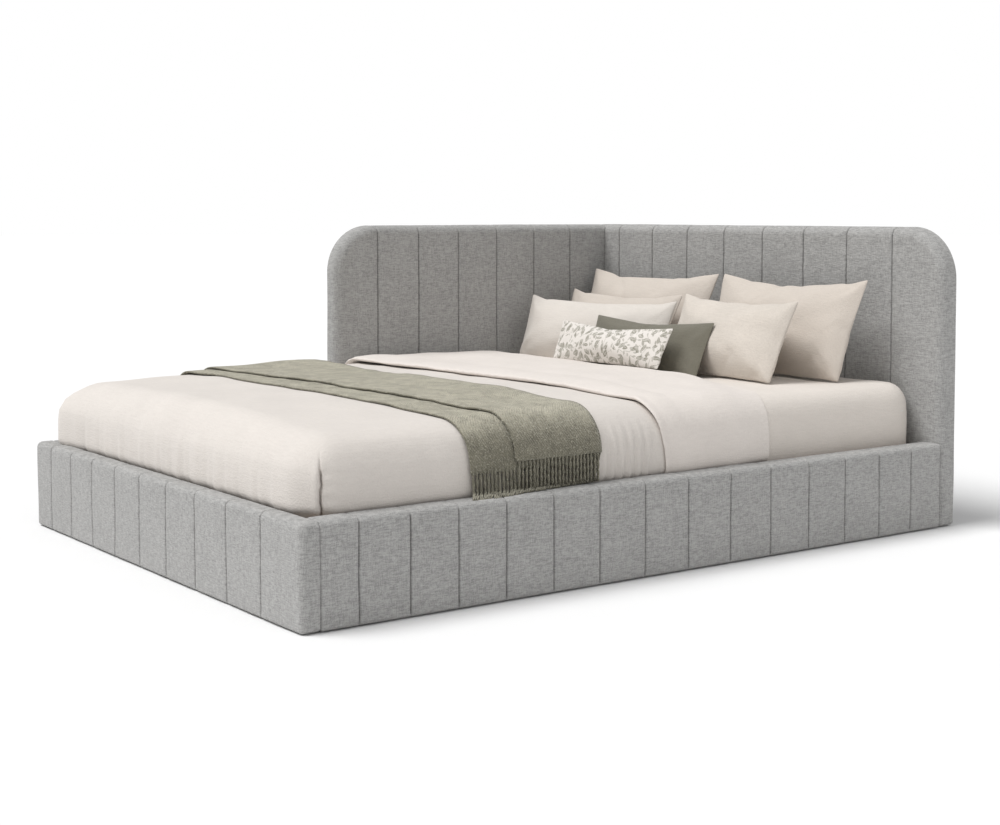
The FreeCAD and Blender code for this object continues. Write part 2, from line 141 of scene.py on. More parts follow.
def waves(points, size, seed, stretch=(1, 1, 1)):
    """Smooth seeded noise of about -1 to 1, with bumps about size metres wide."""
    draw = np.random.default_rng(seed)
    total = np.zeros(len(points))
    for _ in range(WAVE_TERMS):
        direction = draw.normal(size=3)
        direction /= np.linalg.norm(direction)
        turn = 2 * math.pi / (size * draw.uniform(1.2, 3.0))
        total += np.sin((points * stretch) @ direction * turn + draw.uniform(0, 2 * math.pi))
    return total / math.sqrt(WAVE_TERMS)


def smooth_step(value, start, end):
    """0 before start, 1 after end, and a smooth rise between them."""
    share = np.clip((value - start) / (end - start), 0, 1)
    return share * share * (3 - 2 * share)


def bell(value, middle, width):
    return np.exp(-(((value - middle) / width) ** 2))


def level(*columns):
    """Points in a plane, for waves."""
    return np.column_stack((*columns, np.zeros(len(columns[0]))))


def quads(across, up, start=0, turned=False):
    """Faces of a grid of points, row by row."""
    faces = []
    for row, column in product(range(up - 1), range(across - 1)):
        corner = start + row * across + column
        quad = (corner, corner + 1, corner + across + 1, corner + across)
        faces.append(quad[::-1] if turned else quad)
    return faces


def tube_faces(start, rings, sides, closed=False):
    """Faces of a tube of rings, with its two ends unless it closes on itself."""
    faces = []
    for ring, corner in product(range(rings if closed else rings - 1), range(sides)):
        here, there = start + ring * sides, start + (ring + 1) % rings * sides
        after = (corner + 1) % sides
        faces.append((here + corner, here + after, there + after, there + corner))
    if not closed:
        last = start + (rings - 1) * sides
        faces.append(tuple(range(start + sides - 1, start - 1, -1)))
        faces.append(tuple(range(last, last + sides)))
    return faces


def add_mesh(name, points, faces, material, slot, place=None):
    """A smooth-shaded piece on the bed's one body."""
    mesh = bpy.data.meshes.new(name)
    mesh.from_pydata(np.asarray(points, float).tolist(), [], faces)
    mesh.validate()
    mesh.polygons.foreach_set("use_smooth", [True] * len(mesh.polygons))
    mesh.materials.append(material)
    piece = bpy.data.objects.new(name, mesh)
    bpy.context.scene.collection.objects.link(piece)
    if place is not None:
        piece.matrix_world = place
    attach(piece, "root")
    return piece


def solidify(piece, thickness, offset=0.0):
    modifier = piece.modifiers.new("thickness", "SOLIDIFY")
    modifier.thickness = thickness
    modifier.offset = offset


class Outline:
    """A rectangle with rounded corners; radii run anticlockwise from the low left one."""

    def __init__(self, low, high, radii):
        self.low = np.array(low, float)
        self.high = np.array(high, float)
        self.radii = radii
        self.centres = []
        for sides, radius in zip(CORNER_SIGNS, radii):
            corner = np.where(np.array(sides) > 0, self.high, self.low)
            self.centres.append(corner - np.array(sides) * radius)

    def inset(self, sides):
        """The outline moved in by its own amount at the left, bottom, right and top."""
        left, bottom, right, top = sides
        pairs = ((left, bottom), (right, bottom), (right, top), (left, top))
        radii = [max(r - max(pair), LEAST_RADIUS) for r, pair in zip(self.radii, pairs)]
        return Outline(self.low + (left, bottom), self.high - (right, top), radii)

    def corner_of(self, a, b):
        """Each point's corner (or -1), its share of the radius there, and its angle."""
        corner = np.full(len(a), -1)
        share = np.zeros(len(a))
        angle = np.zeros(len(a))
        for index, (side_a, side_b) in enumerate(CORNER_SIGNS):
            centre_a, centre_b = self.centres[index]
            alpha = side_a * (a - centre_a) / self.radii[index]
            beta = side_b * (b - centre_b) / self.radii[index]
            inside = (alpha > TINY) & (beta > TINY)
            alpha, beta = alpha[inside], beta[inside]
            steep = math.pi / 2 - math.pi / 4 * alpha / beta
            corner[inside] = index
            share[inside] = np.maximum(alpha, beta)
            angle[inside] = np.where(alpha >= beta, math.pi / 4 * beta / alpha, steep)
        return corner, share, angle

    def rounded(self, a, b):
        """Grid points with each corner's square moved onto its quarter disc."""
        corner, share, angle = self.corner_of(a, b)
        place = np.column_stack((a, b))
        for index, sides in enumerate(CORNER_SIGNS):
            mine = corner == index
            reach = self.radii[index] * share[mine]
            outward = np.column_stack((np.cos(angle[mine]), np.sin(angle[mine]))) * sides
            place[mine] = self.centres[index] + reach[:, None] * outward
        return place.T

    def follow(self, base, a, b):
        """Where this outline lies beside each border point of a grid cut to base, and
        the outward direction there."""
        corner, _, angle = base.corner_of(a, b)
        point = np.column_stack((a, b))
        outward = np.zeros((len(a), 2))
        for index, sides in enumerate(CORNER_SIGNS):
            mine = corner == index
            outward[mine] = np.column_stack((np.cos(angle[mine]), np.sin(angle[mine]))) * sides
            point[mine] = self.centres[index] + self.radii[index] * outward[mine]
        for axis, sign, first, last in BORDER_SIDES:
            along = 1 - axis
            edge = (base.high if sign > 0 else base.low)[axis]
            mine = (sign * ((a, b)[axis] - edge) >= -TINY) & (corner < 0)
            start, end = base.centres[first][along], base.centres[last][along]
            knots = (start, start + REMAP_REACH, end - REMAP_REACH, end)
            places = (self.centres[first][along], knots[1], knots[2], self.centres[last][along])
            point[mine, axis] = (self.high if sign > 0 else self.low)[axis]
            point[mine, along] = np.interp((a, b)[along][mine], knots, places)
            outward[mine, axis] = sign
        return point, outward

    def path(self, steps):
        """Points round the corners, with the outward angle at each."""
        path = []
        for sides, radius, centre in zip(CORNER_SIGNS, self.radii, self.centres):
            start = math.atan2(sides[1], sides[0]) - math.pi / 4
            for step in range(steps + 1):
                turn = start + math.pi / 2 * step / steps
                path.append((centre[0] + radius * math.cos(turn), centre[1] + radius * math.sin(turn), turn))
        return path


def spaced(low, high, step, stops=(), edge=LEAST_RADIUS):
    """Values from low to high through every stop, closer together at both ends."""
    fixed = {low, high}
    fixed.update(stop for stop in stops if low < stop < high)
    for count in range(1, 5):
        fixed.update((low + edge * count / 4, high - edge * count / 4))
    fixed = sorted(fixed)
    values = [fixed[0]]
    for value in fixed[1:]:
        start = values[-1]
        gap = value - start
        if gap >= TINY:
            parts = max(1, math.ceil(gap / step))
            values.extend([start + gap * (part + 1) / parts for part in range(parts)])
    return np.array(values)


def side_values(sides, outward):
    """Each side's value at each border point, blended round the corners."""
    left, bottom, right, top = sides
    flat = np.where(outward[:, 0] > 0, right, left)
    upright = np.where(outward[:, 1] > 0, top, bottom)
    share = outward[:, 0] ** 2
    return flat * share + upright * (1 - share)


class Slab:
    """A soft panel in its own coordinates: a to the right, b up and d into its depth.

    A grid of quads fills the front, rings go round the rolled rim, the walls and the
    back roll, and a pocket for the board, or a plain back, closes it.
    """

    def __init__(self, outer, depth, roll, back_roll, steps, pocket=(), column_stops=(), row_stops=()):
        self.outer = outer
        self.depth = depth
        self.base = outer.inset(roll)
        edge = self.base.radii[0]
        columns = spaced(self.base.low[0], self.base.high[0], steps[0], column_stops, edge)
        rows = spaced(self.base.low[1], self.base.high[1], steps[1], row_stops, edge)
        self.grid = [grid.ravel() for grid in np.meshgrid(columns, rows)]
        self.border = self.border_loop(len(columns), len(rows))
        front = level(*self.base.rounded(*self.grid))
        self.blocks = [(front, np.tile((0.0, 0.0, -1.0), (len(front), 1)), 1.0)]
        self.faces = quads(len(columns), len(rows))
        self.loop = list(self.border)
        self.count = len(front)
        self.roll_rings(roll, back_roll)
        floor = depth
        for inset, floor in pocket:
            place, _ = self.beside(outer.inset([inset] * 4))
            self.add_ring(place, floor, np.zeros_like(place), 1.0, 0.0)
        back = front + (0, 0, floor)
        self.join(self.count + self.border)
        self.faces += quads(len(columns), len(rows), self.count, True)
        self.blocks.append((back, np.tile((0.0, 0.0, 1.0), (len(back), 1)), 0.0))
        self.points, self.normals = (np.concatenate([block[k] for block in self.blocks]) for k in (0, 1))
        self.soft = np.concatenate([np.full(len(block[0]), block[2]) for block in self.blocks])

    def border_loop(self, across, up):
        """The grid's border points, anticlockwise seen from the front."""
        last = across - 1
        loop = list(range(last))
        loop += [row * across + last for row in range(up - 1)]
        loop += [(up - 1) * across + column for column in range(last, 0, -1)]
        return np.array(loop + [row * across for row in range(up - 1, 0, -1)])

    def join(self, ring):
        total = len(ring)
        for index in range(total):
            after = (index + 1) % total
            self.faces.append((self.loop[index], ring[index], ring[after], self.loop[after]))

    def add_ring(self, place, depth, outward, facing, soft):
        """Joins a ring of points to the last one; its normals are outward and facing."""
        total = len(place)
        ring = list(range(self.count, self.count + total))
        self.join(ring)
        normals = np.column_stack((outward, np.full(total, facing)))
        self.blocks.append((np.column_stack((place, np.full(total, depth))), normals, soft))
        self.loop = ring
        self.count += total

    def beside(self, outline):
        return outline.follow(self.base, *(grid[self.border] for grid in self.grid))

    def roll_rings(self, roll, back_roll):
        inner, _ = self.beside(self.base)
        edge, outward = self.beside(self.outer)
        back, _ = self.beside(self.outer.inset(back_roll))
        front_depth = side_values(roll, outward)
        back_depth = side_values(back_roll, outward)
        turns = [math.pi / 2 * step / ROLL_STEPS for step in range(1, ROLL_STEPS + 1)]
        for turn in turns:
            place = inner + (edge - inner) * math.sin(turn)
            depth = front_depth * (1 - math.cos(turn))
            self.add_ring(place, depth, outward * math.sin(turn), -math.cos(turn), 1.0)
        wall = self.depth - back_depth - front_depth
        parts = max(1, math.ceil(wall.max() / WALL_STEP))
        for part in range(1, parts + 1):
            self.add_ring(edge, front_depth + wall * part / parts, outward, 0.0, 1.0)
        for step, turn in enumerate(turns, 1):
            place = back + (edge - back) * math.cos(turn)
            depth = self.depth - back_depth * (1 - math.sin(turn))
            soft = 1.0 - step / ROLL_STEPS
            self.add_ring(place, depth, outward * math.cos(turn), math.sin(turn), soft)

    def push(self, amount):
        """Moves the surface out along its normals."""
        self.points = self.points + self.normals * amount[:, None]

    def turned_up(self, top):
        """Its points with its front on top, at this height."""
        return self.points * (1, 1, -1) + (0, 0, top)


# ---- covers -------------------------------------------------------------
def facing_foot(low, high):
    """A cover's corners and depth in panel coordinates, and the way back to the bed's."""
    return (low.x, low.z), (high.x, high.z), high.y - low.y, lambda a, b, d: (a, low.y + d, b)


def facing_near(low, high):
    return (low.y, low.z), (high.y, high.z), high.x - low.x, lambda a, b, d: (high.x - d, a, b)


def facing_far(low, high):
    return (-high.y, low.z), (-low.y, high.z), high.x - low.x, lambda a, b, d: (low.x + d, -a, b)


def headboard_seams(_, end):
    return [end - HEADBOARD_FIRST_SEAM - HEADBOARD_SEAM_PITCH * k for k in range(HEADBOARD_SEAMS)]


def even_seams(start, end):
    return [start + (end - start) * count / EVEN_CHANNELS for count in range(1, EVEN_CHANNELS)]


def foot_rail_seams(start, _):
    seams = [start + FOOT_RAIL_FIRST_SEAM]
    for count in range(FOOT_RAIL_SEAMS - 1):
        seams.append(seams[-1] + FOOT_RAIL_SEAM_PITCH + FOOT_RAIL_PITCH_GROWTH * count)
    return seams


def near_rail_seams(start, _):
    seams = [start + seam for seam in NEAR_RAIL_FIRST_SEAMS]
    for count in range(2, NEAR_RAIL_SEAMS):
        seams.append(seams[-1] + NEAR_RAIL_WIDEST - NEAR_RAIL_NARROWING * (count - 7.8) ** 2)
    return seams


def channel_relief(a, low, high, seams):
    """Height of a channelled cover: a low crown between seams, and a valley at each."""
    stops = np.array([low, *sorted(seams), high])
    index = np.clip(np.searchsorted(stops, a) - 1, 0, len(stops) - 2)
    share = np.clip((a - stops[index]) / (stops[index + 1] - stops[index]), 0, 1)
    crown = CHANNEL_CROWN * (1 - (2 * share - 1) ** 4)
    near = np.abs(a[:, None] - np.array(seams)[None, :]).min(axis=1)
    reach = np.clip(1 - near / VALLEY_REACH, 0, 1)
    valley = VALLEY_DEPTH * (1 - np.sqrt(1 - reach**2))
    stitch = STITCH_DEPTH * np.clip(1 - near / STITCH_REACH, 0, 1)
    return crown - valley - stitch, near


def build_cover(name, facing, seam_rule, radii, roll, back_roll, pad, seed):
    """A channelled cover, with slight unevenness and puckers at the seams."""
    corner, opposite, depth, place = facing(*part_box(name))
    seams = seam_rule(corner[0], opposite[0])
    stops = [seam + side * step for seam in seams for step in SEAM_STEPS for side in (-1, 1)]
    pocket = ((COVER_WRAP, depth), (COVER_WRAP, pad or depth - RAIL_BOARD))
    outer = Outline(corner, opposite, radii)
    slab = Slab(outer, depth, roll, back_roll, (0.016, 0.010), pocket, stops)
    relief, near = channel_relief(slab.points[:, 0], corner[0], opposite[0], seams)
    uneven = 0.0008 * waves(slab.points, 0.11, seed)
    pucker = 0.0005 * waves(slab.points, 0.016, seed + 1, (0.4, 1, 1)) * bell(near, 0.006, 0.010)
    upward = np.clip(slab.normals[:, 1], 0, 1)
    downward = np.clip(-slab.normals[:, 1], 0, 1)
    share = (1 - (1 - EDGE_RELIEF) * upward) * (1 - downward)
    slab.push((relief + uneven + pucker) * slab.soft * share)
    points = np.column_stack(place(*slab.points.T))
    piece = add_mesh(name + "_upholstery", points, slab.faces, UPHOLSTERY, "upholstery")
    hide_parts(name)


def build_covers():
    tall_back = (0.008, 0.006, 0.008, 0.008)
    rail_back = (0.003, 0.003, 0.003, 0.009)
    butt_radii = (BUTT_ROLL,) * 4
    radii = (0.012, 0.012, CORNER_RADIUS, 0.017)
    roll = (RAIL_ROLL, FLOOR_ROLL, TALL_ROLL, TALL_ROLL)
    build_cover(
        "headboard_cover", facing_foot, headboard_seams, radii, roll, tall_back, HEADBOARD_PAD, 11
    )
    radii = (0.012, BUTT_ROLL, BUTT_ROLL, CORNER_RADIUS)
    roll = (TALL_ROLL, FLOOR_ROLL, BUTT_ROLL, TALL_ROLL)
    back = (0.008, 0.006, 0.003, 0.008)
    build_cover("side_panel_cover", facing_near, even_seams, radii, roll, back, SIDE_PANEL_PAD, 21)
    radii = (0.012, 0.012, 0.017, 0.017)
    roll = (RAIL_ROLL, FLOOR_ROLL, RAIL_ROLL, RAIL_ROLL)
    back = (0.005, 0.005, MITRE_ROLL, 0.009)
    build_cover("foot_rail_cover", facing_foot, foot_rail_seams, radii, roll, back, None, 31)
    roll = (MITRE_ROLL, FLOOR_ROLL, BUTT_ROLL, RAIL_ROLL)
    build_cover("near_rail_cover", facing_near, near_rail_seams, butt_radii, roll, rail_back, None, 41)
    roll = (BUTT_ROLL, FLOOR_ROLL, BUTT_ROLL, RAIL_ROLL)
    build_cover("far_rail_cover", facing_far, even_seams, butt_radii, roll, rail_back, None, 51)


def build_lining(name, low, high, radii, place, seed):
    """A thin black cloth stretched over the open back, and the staples that hold it."""
    outer = Outline(low, high, radii)
    columns = spaced(low[0], high[0], 0.012)
    rows = spaced(low[1], high[1], 0.012)
    a, b = (grid.ravel() for grid in np.meshgrid(columns, rows))
    flat = level(a, b)
    a, b = outer.rounded(a, b)
    edge = np.minimum.reduce((a - low[0], high[0] - a, b - low[1], high[1] - b))
    slack = 0.0006 * waves(flat, 0.16, seed) * smooth_step(edge, 0.0, 0.05)
    slack += 0.0003 * waves(flat, 0.03, seed + 1, (1, 0.3, 1)) * (1 - smooth_step(edge, 0.02, 0.09))
    points = np.column_stack(place(a, b, slack))
    piece = add_mesh(name + "_cloth", points, quads(len(columns), len(rows)), LINING, "lining")
    solidify(piece, LINING_THICKNESS)
    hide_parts(name)
    staples = staple_row(name + "_staples", outer, place)


def staple_row(name, outline, place):
    """Staples a few millimetres inside the cloth's edge, as small flat bars."""
    corners = outline.inset([0.008] * 4).path(8)
    path = np.array(corners + corners[:1])[:, :2]
    along = np.concatenate([[0], np.cumsum(np.linalg.norm(np.diff(path, axis=0), axis=1))])
    points = []
    faces = []
    for at in np.arange(STAPLE_PITCH / 2, along[-1], STAPLE_PITCH):
        ends = [
            np.array([np.interp(at + offset, along, path[:, k]) for k in range(2)])
            for offset in (-STAPLE_WIDTH / 2, STAPLE_WIDTH / 2)
        ]
        add_bar(points, faces, ends, STAPLE_WIRE)
    return add_mesh(name, np.column_stack(place(*np.array(points).T)), faces, STEEL, "zinc_steel")


def add_bar(points, faces, ends, radius):
    """A six-sided wire bar with tapered ends that lies on the cloth."""
    span = ends[1] - ends[0]
    side = np.array((-span[1], span[0])) / np.linalg.norm(span)
    profile = ((0.0, 0.3), (0.06, 1.0), (0.94, 1.0), (1.0, 0.3))
    faces += tube_faces(len(points), len(profile), 6)
    for (share, swell), corner in product(profile, range(6)):
        turn = math.pi / 3 * corner
        flat = ends[0] + span * share + side * radius * swell * math.cos(turn)
        points.append((*flat, LINING_THICKNESS + radius * swell * math.sin(turn)))


def build_linings():
    radius = CORNER_RADIUS - COVER_WRAP
    low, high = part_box("headboard_back_lining")
    back = low.y + LINING_GAP
    corners = (-high.x, low.z), (-low.x, high.z), (0.006, 0.006, 0.006, radius)
    build_lining("headboard_back_lining", *corners, lambda a, b, d: (-a, back + d, b), 61)
    low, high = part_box("side_panel_back_lining")
    side = high.x - LINING_GAP
    corners = (-high.y, low.z), (-low.y, high.z), (0.006, 0.006, radius, 0.006)
    build_lining("side_panel_back_lining", *corners, lambda a, b, d: (side - d, -a, b), 62)


# ---- bed profile --------------------------------------------------------
class Profile:
    """The duvet's outside across the bed: up the near side, over the top, down the far side."""

    def __init__(self, near, far, top, radius, hem):
        self.near, self.far, self.radius, self.hem = near, far, radius, hem
        self.wall = top - radius - hem
        self.arc = math.pi / 2 * radius
        self.flat = near - far - 2 * radius
        self.length = 2 * self.wall + 2 * self.arc + self.flat

    def at(self, along):
        """Place and outward direction in the XZ plane at each distance from the near hem."""
        past_arc = along - self.wall - self.arc
        near_bend = np.clip((along - self.wall) / self.radius, 0, math.pi / 2)
        far_bend = np.clip((past_arc - self.flat) / self.radius, 0, math.pi / 2)
        run = np.clip(past_arc, 0, self.flat)
        drop = np.maximum(past_arc - self.flat - self.arc, 0)
        x = self.near - self.radius * (1 - np.cos(near_bend) + np.sin(far_bend)) - run
        z = self.hem + np.minimum(along, self.wall) - drop
        z += self.radius * (np.sin(near_bend) - 1 + np.cos(far_bend))
        turn = near_bend + far_bend
        return x, z, np.cos(turn), np.sin(turn)


def near_fall(x):
    """How far the bedding's top slopes down towards the near side."""
    return 0.013 * smooth_step(x, 0.25, 0.62)


def duvet_swell(x, y):
    """How far the made-up duvet stands above its nominal top, from its filling."""
    flat = level(x, y)
    rise = 0.0030 * smooth_step(y, -0.55, -0.16) * (1 - smooth_step(y, -0.03, 0.06))
    sides = -0.006 * smooth_step(-x, 0.40, 0.64) - near_fall(x)
    foot = -0.010 * bell(y, -1.0, 0.20) * bell(np.abs(x), 0.72, 0.22)
    bumps = 0.0022 * waves(flat, 0.22, 101) + 0.0010 * waves(flat, 0.09, 102)
    return rise + sides + foot + bumps


def belly(z):
    """How far the duvet's sides bulge out over the rails at each height."""
    return DUVET_BELLY * smooth_step(z, 0.232, 0.256) * (1 - smooth_step(z, 0.31, 0.42))


# ---- mattress and sheet -------------------------------------------------
def tucked(y):
    """How far the mattress and sheet draw in under the duvet, which presses on them."""
    return TUCKED_DRAW * (1 - smooth_step(y, 0.10, 0.28))


def draw_in(slab):
    squeeze = tucked(slab.points[:, 1])
    slab.points[:, :2] -= slab.normals[:, :2] * squeeze[:, None]
    slab.points[:, 2] -= np.minimum(slab.normals[:, 2], 0) * squeeze


def build_mattress():
    low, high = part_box("mattress")
    top = high.z - BEDDING_SETTLE
    outer = Outline((low.x, low.y), (high.x, high.y), [MATTRESS_CORNER] * 4)
    slab = Slab(outer, top - low.z, [MATTRESS_ROLL] * 4, [MATTRESS_BASE_ROLL] * 4, (0.016, 0.016))
    draw_in(slab)
    a, b, _ = slab.points.T
    quilt = np.abs(np.sin((a + b) * math.pi / QUILT_PITCH) * np.sin((a - b) * math.pi / QUILT_PITCH))
    flat = np.abs(slab.normals[:, 2]) > 0.99
    slab.points[:, 2] += np.where(flat, -slab.normals[:, 2] * QUILT_DEPTH * (1 - quilt**0.4), 0)
    piece = add_mesh("mattress_block", slab.turned_up(top), slab.faces, TICKING, "mattress_ticking")
    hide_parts("mattress")
    for end, height in (("top", top - MATTRESS_ROLL), ("bottom", low.z + MATTRESS_BASE_ROLL)):
        build_piping("mattress_piping_" + end, outer.path(12), height)


def build_piping(name, path, height):
    """A round cord sewn into the mattress edge seam."""
    sides = 8
    points = []
    for (x, y, turn), corner in product(path, range(sides)):
        angle = 2 * math.pi * corner / sides
        reach = PIPING_RADIUS * math.cos(angle) - tucked(y)
        rise = PIPING_RADIUS * math.sin(angle)
        points.append((x + reach * math.cos(turn), y + reach * math.sin(turn), height + rise))
    faces = [face[::-1] for face in tube_faces(0, len(path), sides, closed=True)]
    add_mesh(name, points, faces, TICKING, "mattress_ticking")


def build_sheet():
    """A fitted sheet: its top, rolled edge and sides down to an elastic hem."""
    low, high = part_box("mattress")
    grow = SHEET_GROW
    radii = [0.064, 0.064, 0.068, 0.064]
    outer = Outline((low.x - grow, low.y - grow), (high.x + grow, high.y + grow), radii)
    slab = Slab(outer, SHEET_TOP - SHEET_HEM, [0.060] * 4, [0.004] * 4, (0.010, 0.010))
    draw_in(slab)
    a, b, d = slab.points.T
    side = smooth_step(d, 0.02, 0.08)
    drape = 0.0011 * waves(slab.points, 0.10, 71) * (1 - side)
    drape += 0.0012 * waves(slab.points, 0.05, 72, (1, 1, 0.15)) * side
    drape += 0.0020 * side * bell(d, 0.12, 0.07)
    corner_seam = bell(b, high.y - 0.030, 0.0016) * (a > 0) * side
    covered = 0.003 * (1 - smooth_step(b, 0.33, 0.44 - 0.08 * smooth_step(a, 0.4, 0.66)))
    covered += 0.009 * (1 - smooth_step(b, -0.30, 0.20))
    slab.push((drape - 0.003 * corner_seam - covered) * slab.soft)
    back_rings = len(slab.border) * ROLL_STEPS + len(slab.blocks[0][0])
    shown = [face for face in slab.faces if max(face) < len(slab.points) - back_rings]
    piece = add_mesh(
        "fitted_sheet_cloth", slab.turned_up(SHEET_TOP), shown, SHEET_COTTON, "sheet_cotton"
    )
    solidify(piece, SHEET_CLOTH, -1.0)
    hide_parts("fitted_sheet")


# ---- duvet --------------------------------------------------------------
def build_duvet():
    """The tucked-in duvet: a soft cap over the mattress with a mitred near foot corner."""
    low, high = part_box("duvet")
    roll = [DUVET_SHOULDER, DUVET_SHOULDER, DUVET_SHOULDER, 0.010]
    radii = [DUVET_FAR_CORNER, DUVET_NEAR_CORNER, 0.012, 0.012]
    outer = Outline((low.x, low.y), (high.x, DUVET_HEAD_END), radii)
    base = outer.inset(roll)
    least = base.radii[0]
    slit_row = base.centres[1][1] - least * SLIT_ANGLE / (math.pi / 4)
    slit_rows = [slit_row + side * least * step for step in SLIT_STEPS for side in (-1, 1)]
    depth = DUVET_TOP - low.z
    walls = ((DUVET_SIDE_WALL, depth), (DUVET_SIDE_WALL, 0.110))
    pocket = (*walls, (0.030, 0.062), (0.060, 0.038), (0.095, DUVET_LOFT))
    stops = [slit_row, *slit_rows]
    slab = Slab(outer, depth, roll, [0.005] * 4, (0.008, 0.008), pocket, row_stops=stops)
    thin_head_end(slab, (low.x + high.x) / 2, (high.x - low.x) / 2)
    shape_duvet(slab, outer, depth)
    piece = add_mesh(
        "duvet_quilt", slab.turned_up(DUVET_TOP), slab.faces, DUVET_COTTON, "duvet_cotton"
    )
    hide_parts("duvet")


def thin_head_end(slab, middle, half):
    """Gives the head end the shoulders' curve and a thin edge, under the band."""
    across = np.abs(slab.points[:, 0] - middle)
    beyond = np.clip(across - (half - DUVET_SHOULDER), 0, DUVET_SHOULDER)
    shoulder = DUVET_SHOULDER - np.sqrt(DUVET_SHOULDER**2 - beyond**2)
    depth = slab.points[:, 2]
    at_end = slab.points[:, 1] > DUVET_HEAD_END - 0.016
    depth = np.where(at_end, np.maximum(depth, shoulder), depth)
    inner = at_end & (across < half - DUVET_SIDE_WALL)
    slab.points[:, 2] = np.where(inner, np.minimum(depth, DUVET_LOFT + shoulder), depth)


def shape_duvet(slab, outer, depth):
    a, b, d = slab.points.T
    normal_a, normal_b, normal_d = slab.normals.T
    side = np.clip(1 - np.abs(normal_d), 0, 1) * smooth_step(d, 0.010, 0.060)
    foot_side = side * np.clip(-normal_b, 0, 1)
    near_side = side * np.clip(normal_a, 0, 1)
    far_side = side * np.clip(-normal_a, 0, 1)
    push = duvet_swell(a, b) * np.clip(-normal_d, 0, 1) ** 1.5
    gathers = 0.0016 * waves(slab.points, 0.019, 111, (1, 1, 0.05))
    push += foot_side * gathers * (0.4 + smooth_step(d, 0.06, depth))
    push += np.clip(foot_side + near_side + far_side, 0, 1) * belly(DUVET_TOP - d)
    push += 0.020 * bell(a, outer.low[0], 0.11) * bell(b, outer.low[1], 0.11) * side
    push += (near_side + far_side) * 0.0008 * waves(slab.points, 0.05, 112, (1, 1, 0.3))
    push += side * 0.0008 * waves(slab.points, 0.06, 113)
    crisp = 1 - smooth_step(b, -0.62, -0.50)
    push += 0.0065 * np.clip(normal_a, 0, 1) * bell(d, 0.040, 0.020) * crisp
    push += near_side * ripples(b, d)
    push += corner_slit(a, b, d, outer)
    push -= 0.004 * smooth_step(b, 0.16, 0.25)
    slab.push(push * slab.soft)


def ripples(b, d):
    """Soft folds that fan down the near side between the throw and the band."""
    fan = b + 0.10 * (d - 0.19)
    inside = smooth_step(fan, -0.215, -0.185) * (1 - smooth_step(fan, -0.06, -0.02))
    return 0.0048 * np.sin((fan + 0.20) * 2 * math.pi / 0.029) * smooth_step(d, 0.03, 0.12) * inside


def corner_slit(a, b, d, outer):
    """The upright opening of the hospital corner, with a proud lip on the foot side."""
    centre = outer.centres[1]
    angle = np.arctan2(-(b - centre[1]), a - centre[0])
    along = (angle - SLIT_ANGLE) * outer.radii[1]
    in_corner = (a > centre[0]) & (b < centre[1]) & (d > 0.002)
    height = DUVET_TOP - d
    fade = 1 - smooth_step(height, SLIT_TOP - 0.030, SLIT_TOP)
    wander = 0.0012 * np.sin(height * 95) + 0.0007 * np.sin(height * 240)
    shape = -0.0165 * bell(along, wander, 0.0021) - 0.0040 * bell(along, -0.008, 0.011)
    shape += 0.0052 * bell(along, 0.009, 0.008)
    shape -= 0.0015 * np.sin(height * 210) * bell(along, -0.016, 0.010)
    return np.where(in_corner, shape * fade, 0)


# ---- turned-down band ---------------------------------------------------
def build_band():
    """The head end of the duvet folded back: a soft strip swept over the bed."""
    low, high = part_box("turned_down_band")
    near_x, far_x = high.x - BAND_LOFT - 0.0005, low.x + BAND_LOFT + 0.0005
    profile = Profile(near_x, far_x, BAND_TOP, BAND_SHOULDER, BAND_HEM)
    width = BAND_REAR - BAND_FRONT
    outer = Outline((0, 0), (profile.length, width), [0.0075] * 4)
    roll = [0.004, 0.0055, 0.004, 0.0055]
    slab = Slab(outer, BAND_LOFT, roll, [0.003, 0.0055, 0.003, 0.0055], (0.009, 0.008))
    a, b, d = slab.points.T
    x, z, out_x, out_z = profile.at(a)
    over = out_z**2
    near = np.clip(out_x, 0, 1)
    side = np.abs(out_x)
    flat = level(a, b)
    front_edge = BAND_FRONT - BAND_SKEW * np.clip((near_x - x) / (near_x - far_x), 0, 1)
    front_edge += 0.004 * waves(flat, 0.07, 121, (1, 0, 0))
    front_edge += 0.026 * near * smooth_step(-z, -0.43, -0.27)
    front_edge -= 0.010 * bell(x, 0.655, 0.05) * over
    rear_edge = BAND_REAR - 0.105 * smooth_step(x, 0.33, 0.72) - 0.018 * near
    share = b / width
    y = front_edge + (rear_edge - front_edge) * share
    drop_start = 0.455 - 0.155 * smooth_step(x, 0.30, 0.62)
    to_rear = smooth_step(y, drop_start, 0.505 - 0.10 * smooth_step(x, 0.33, 0.70))
    lift = (BAND_LOFT - d) * (1 - 0.62 * smooth_step(share, 0.62, 1.0))
    puff = 0.0055 * np.sin(np.pi * np.clip(share * 4.0, 0, 1)) * (0.4 + 0.6 * over)
    bumps = (0.0016 * waves(flat, 0.16, 122) + 0.0008 * waves(flat, 0.05, 123)) * (1 - 0.5 * to_rear)
    pucker = 0.0014 * waves(flat, 0.014, 124, (1, 0.2, 1)) * bell(b, 0.008, 0.012)
    outside = np.clip(1 - d / BAND_LOFT, 0, 1)
    lift += (puff + bumps + pucker + side * 0.0045 * bell(b, 0.010, 0.014)) * outside
    lift += side * belly(z)
    lift += (0.0020 * over + 0.0120 * side) * bell(b, 0.0, 0.010) * (1 - outside)
    fall = near_fall(x) * over
    lift -= fall + to_rear * np.maximum(0.0215 - fall - 0.0195 * side, 0)
    points = np.column_stack((x + out_x * lift, y, z + out_z * lift))
    piece = add_mesh("turned_down_band_quilt", points, slab.faces, BAND_COTTON_PAINTED_LIGHTER, "duvet_cotton")
    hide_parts("turned_down_band")


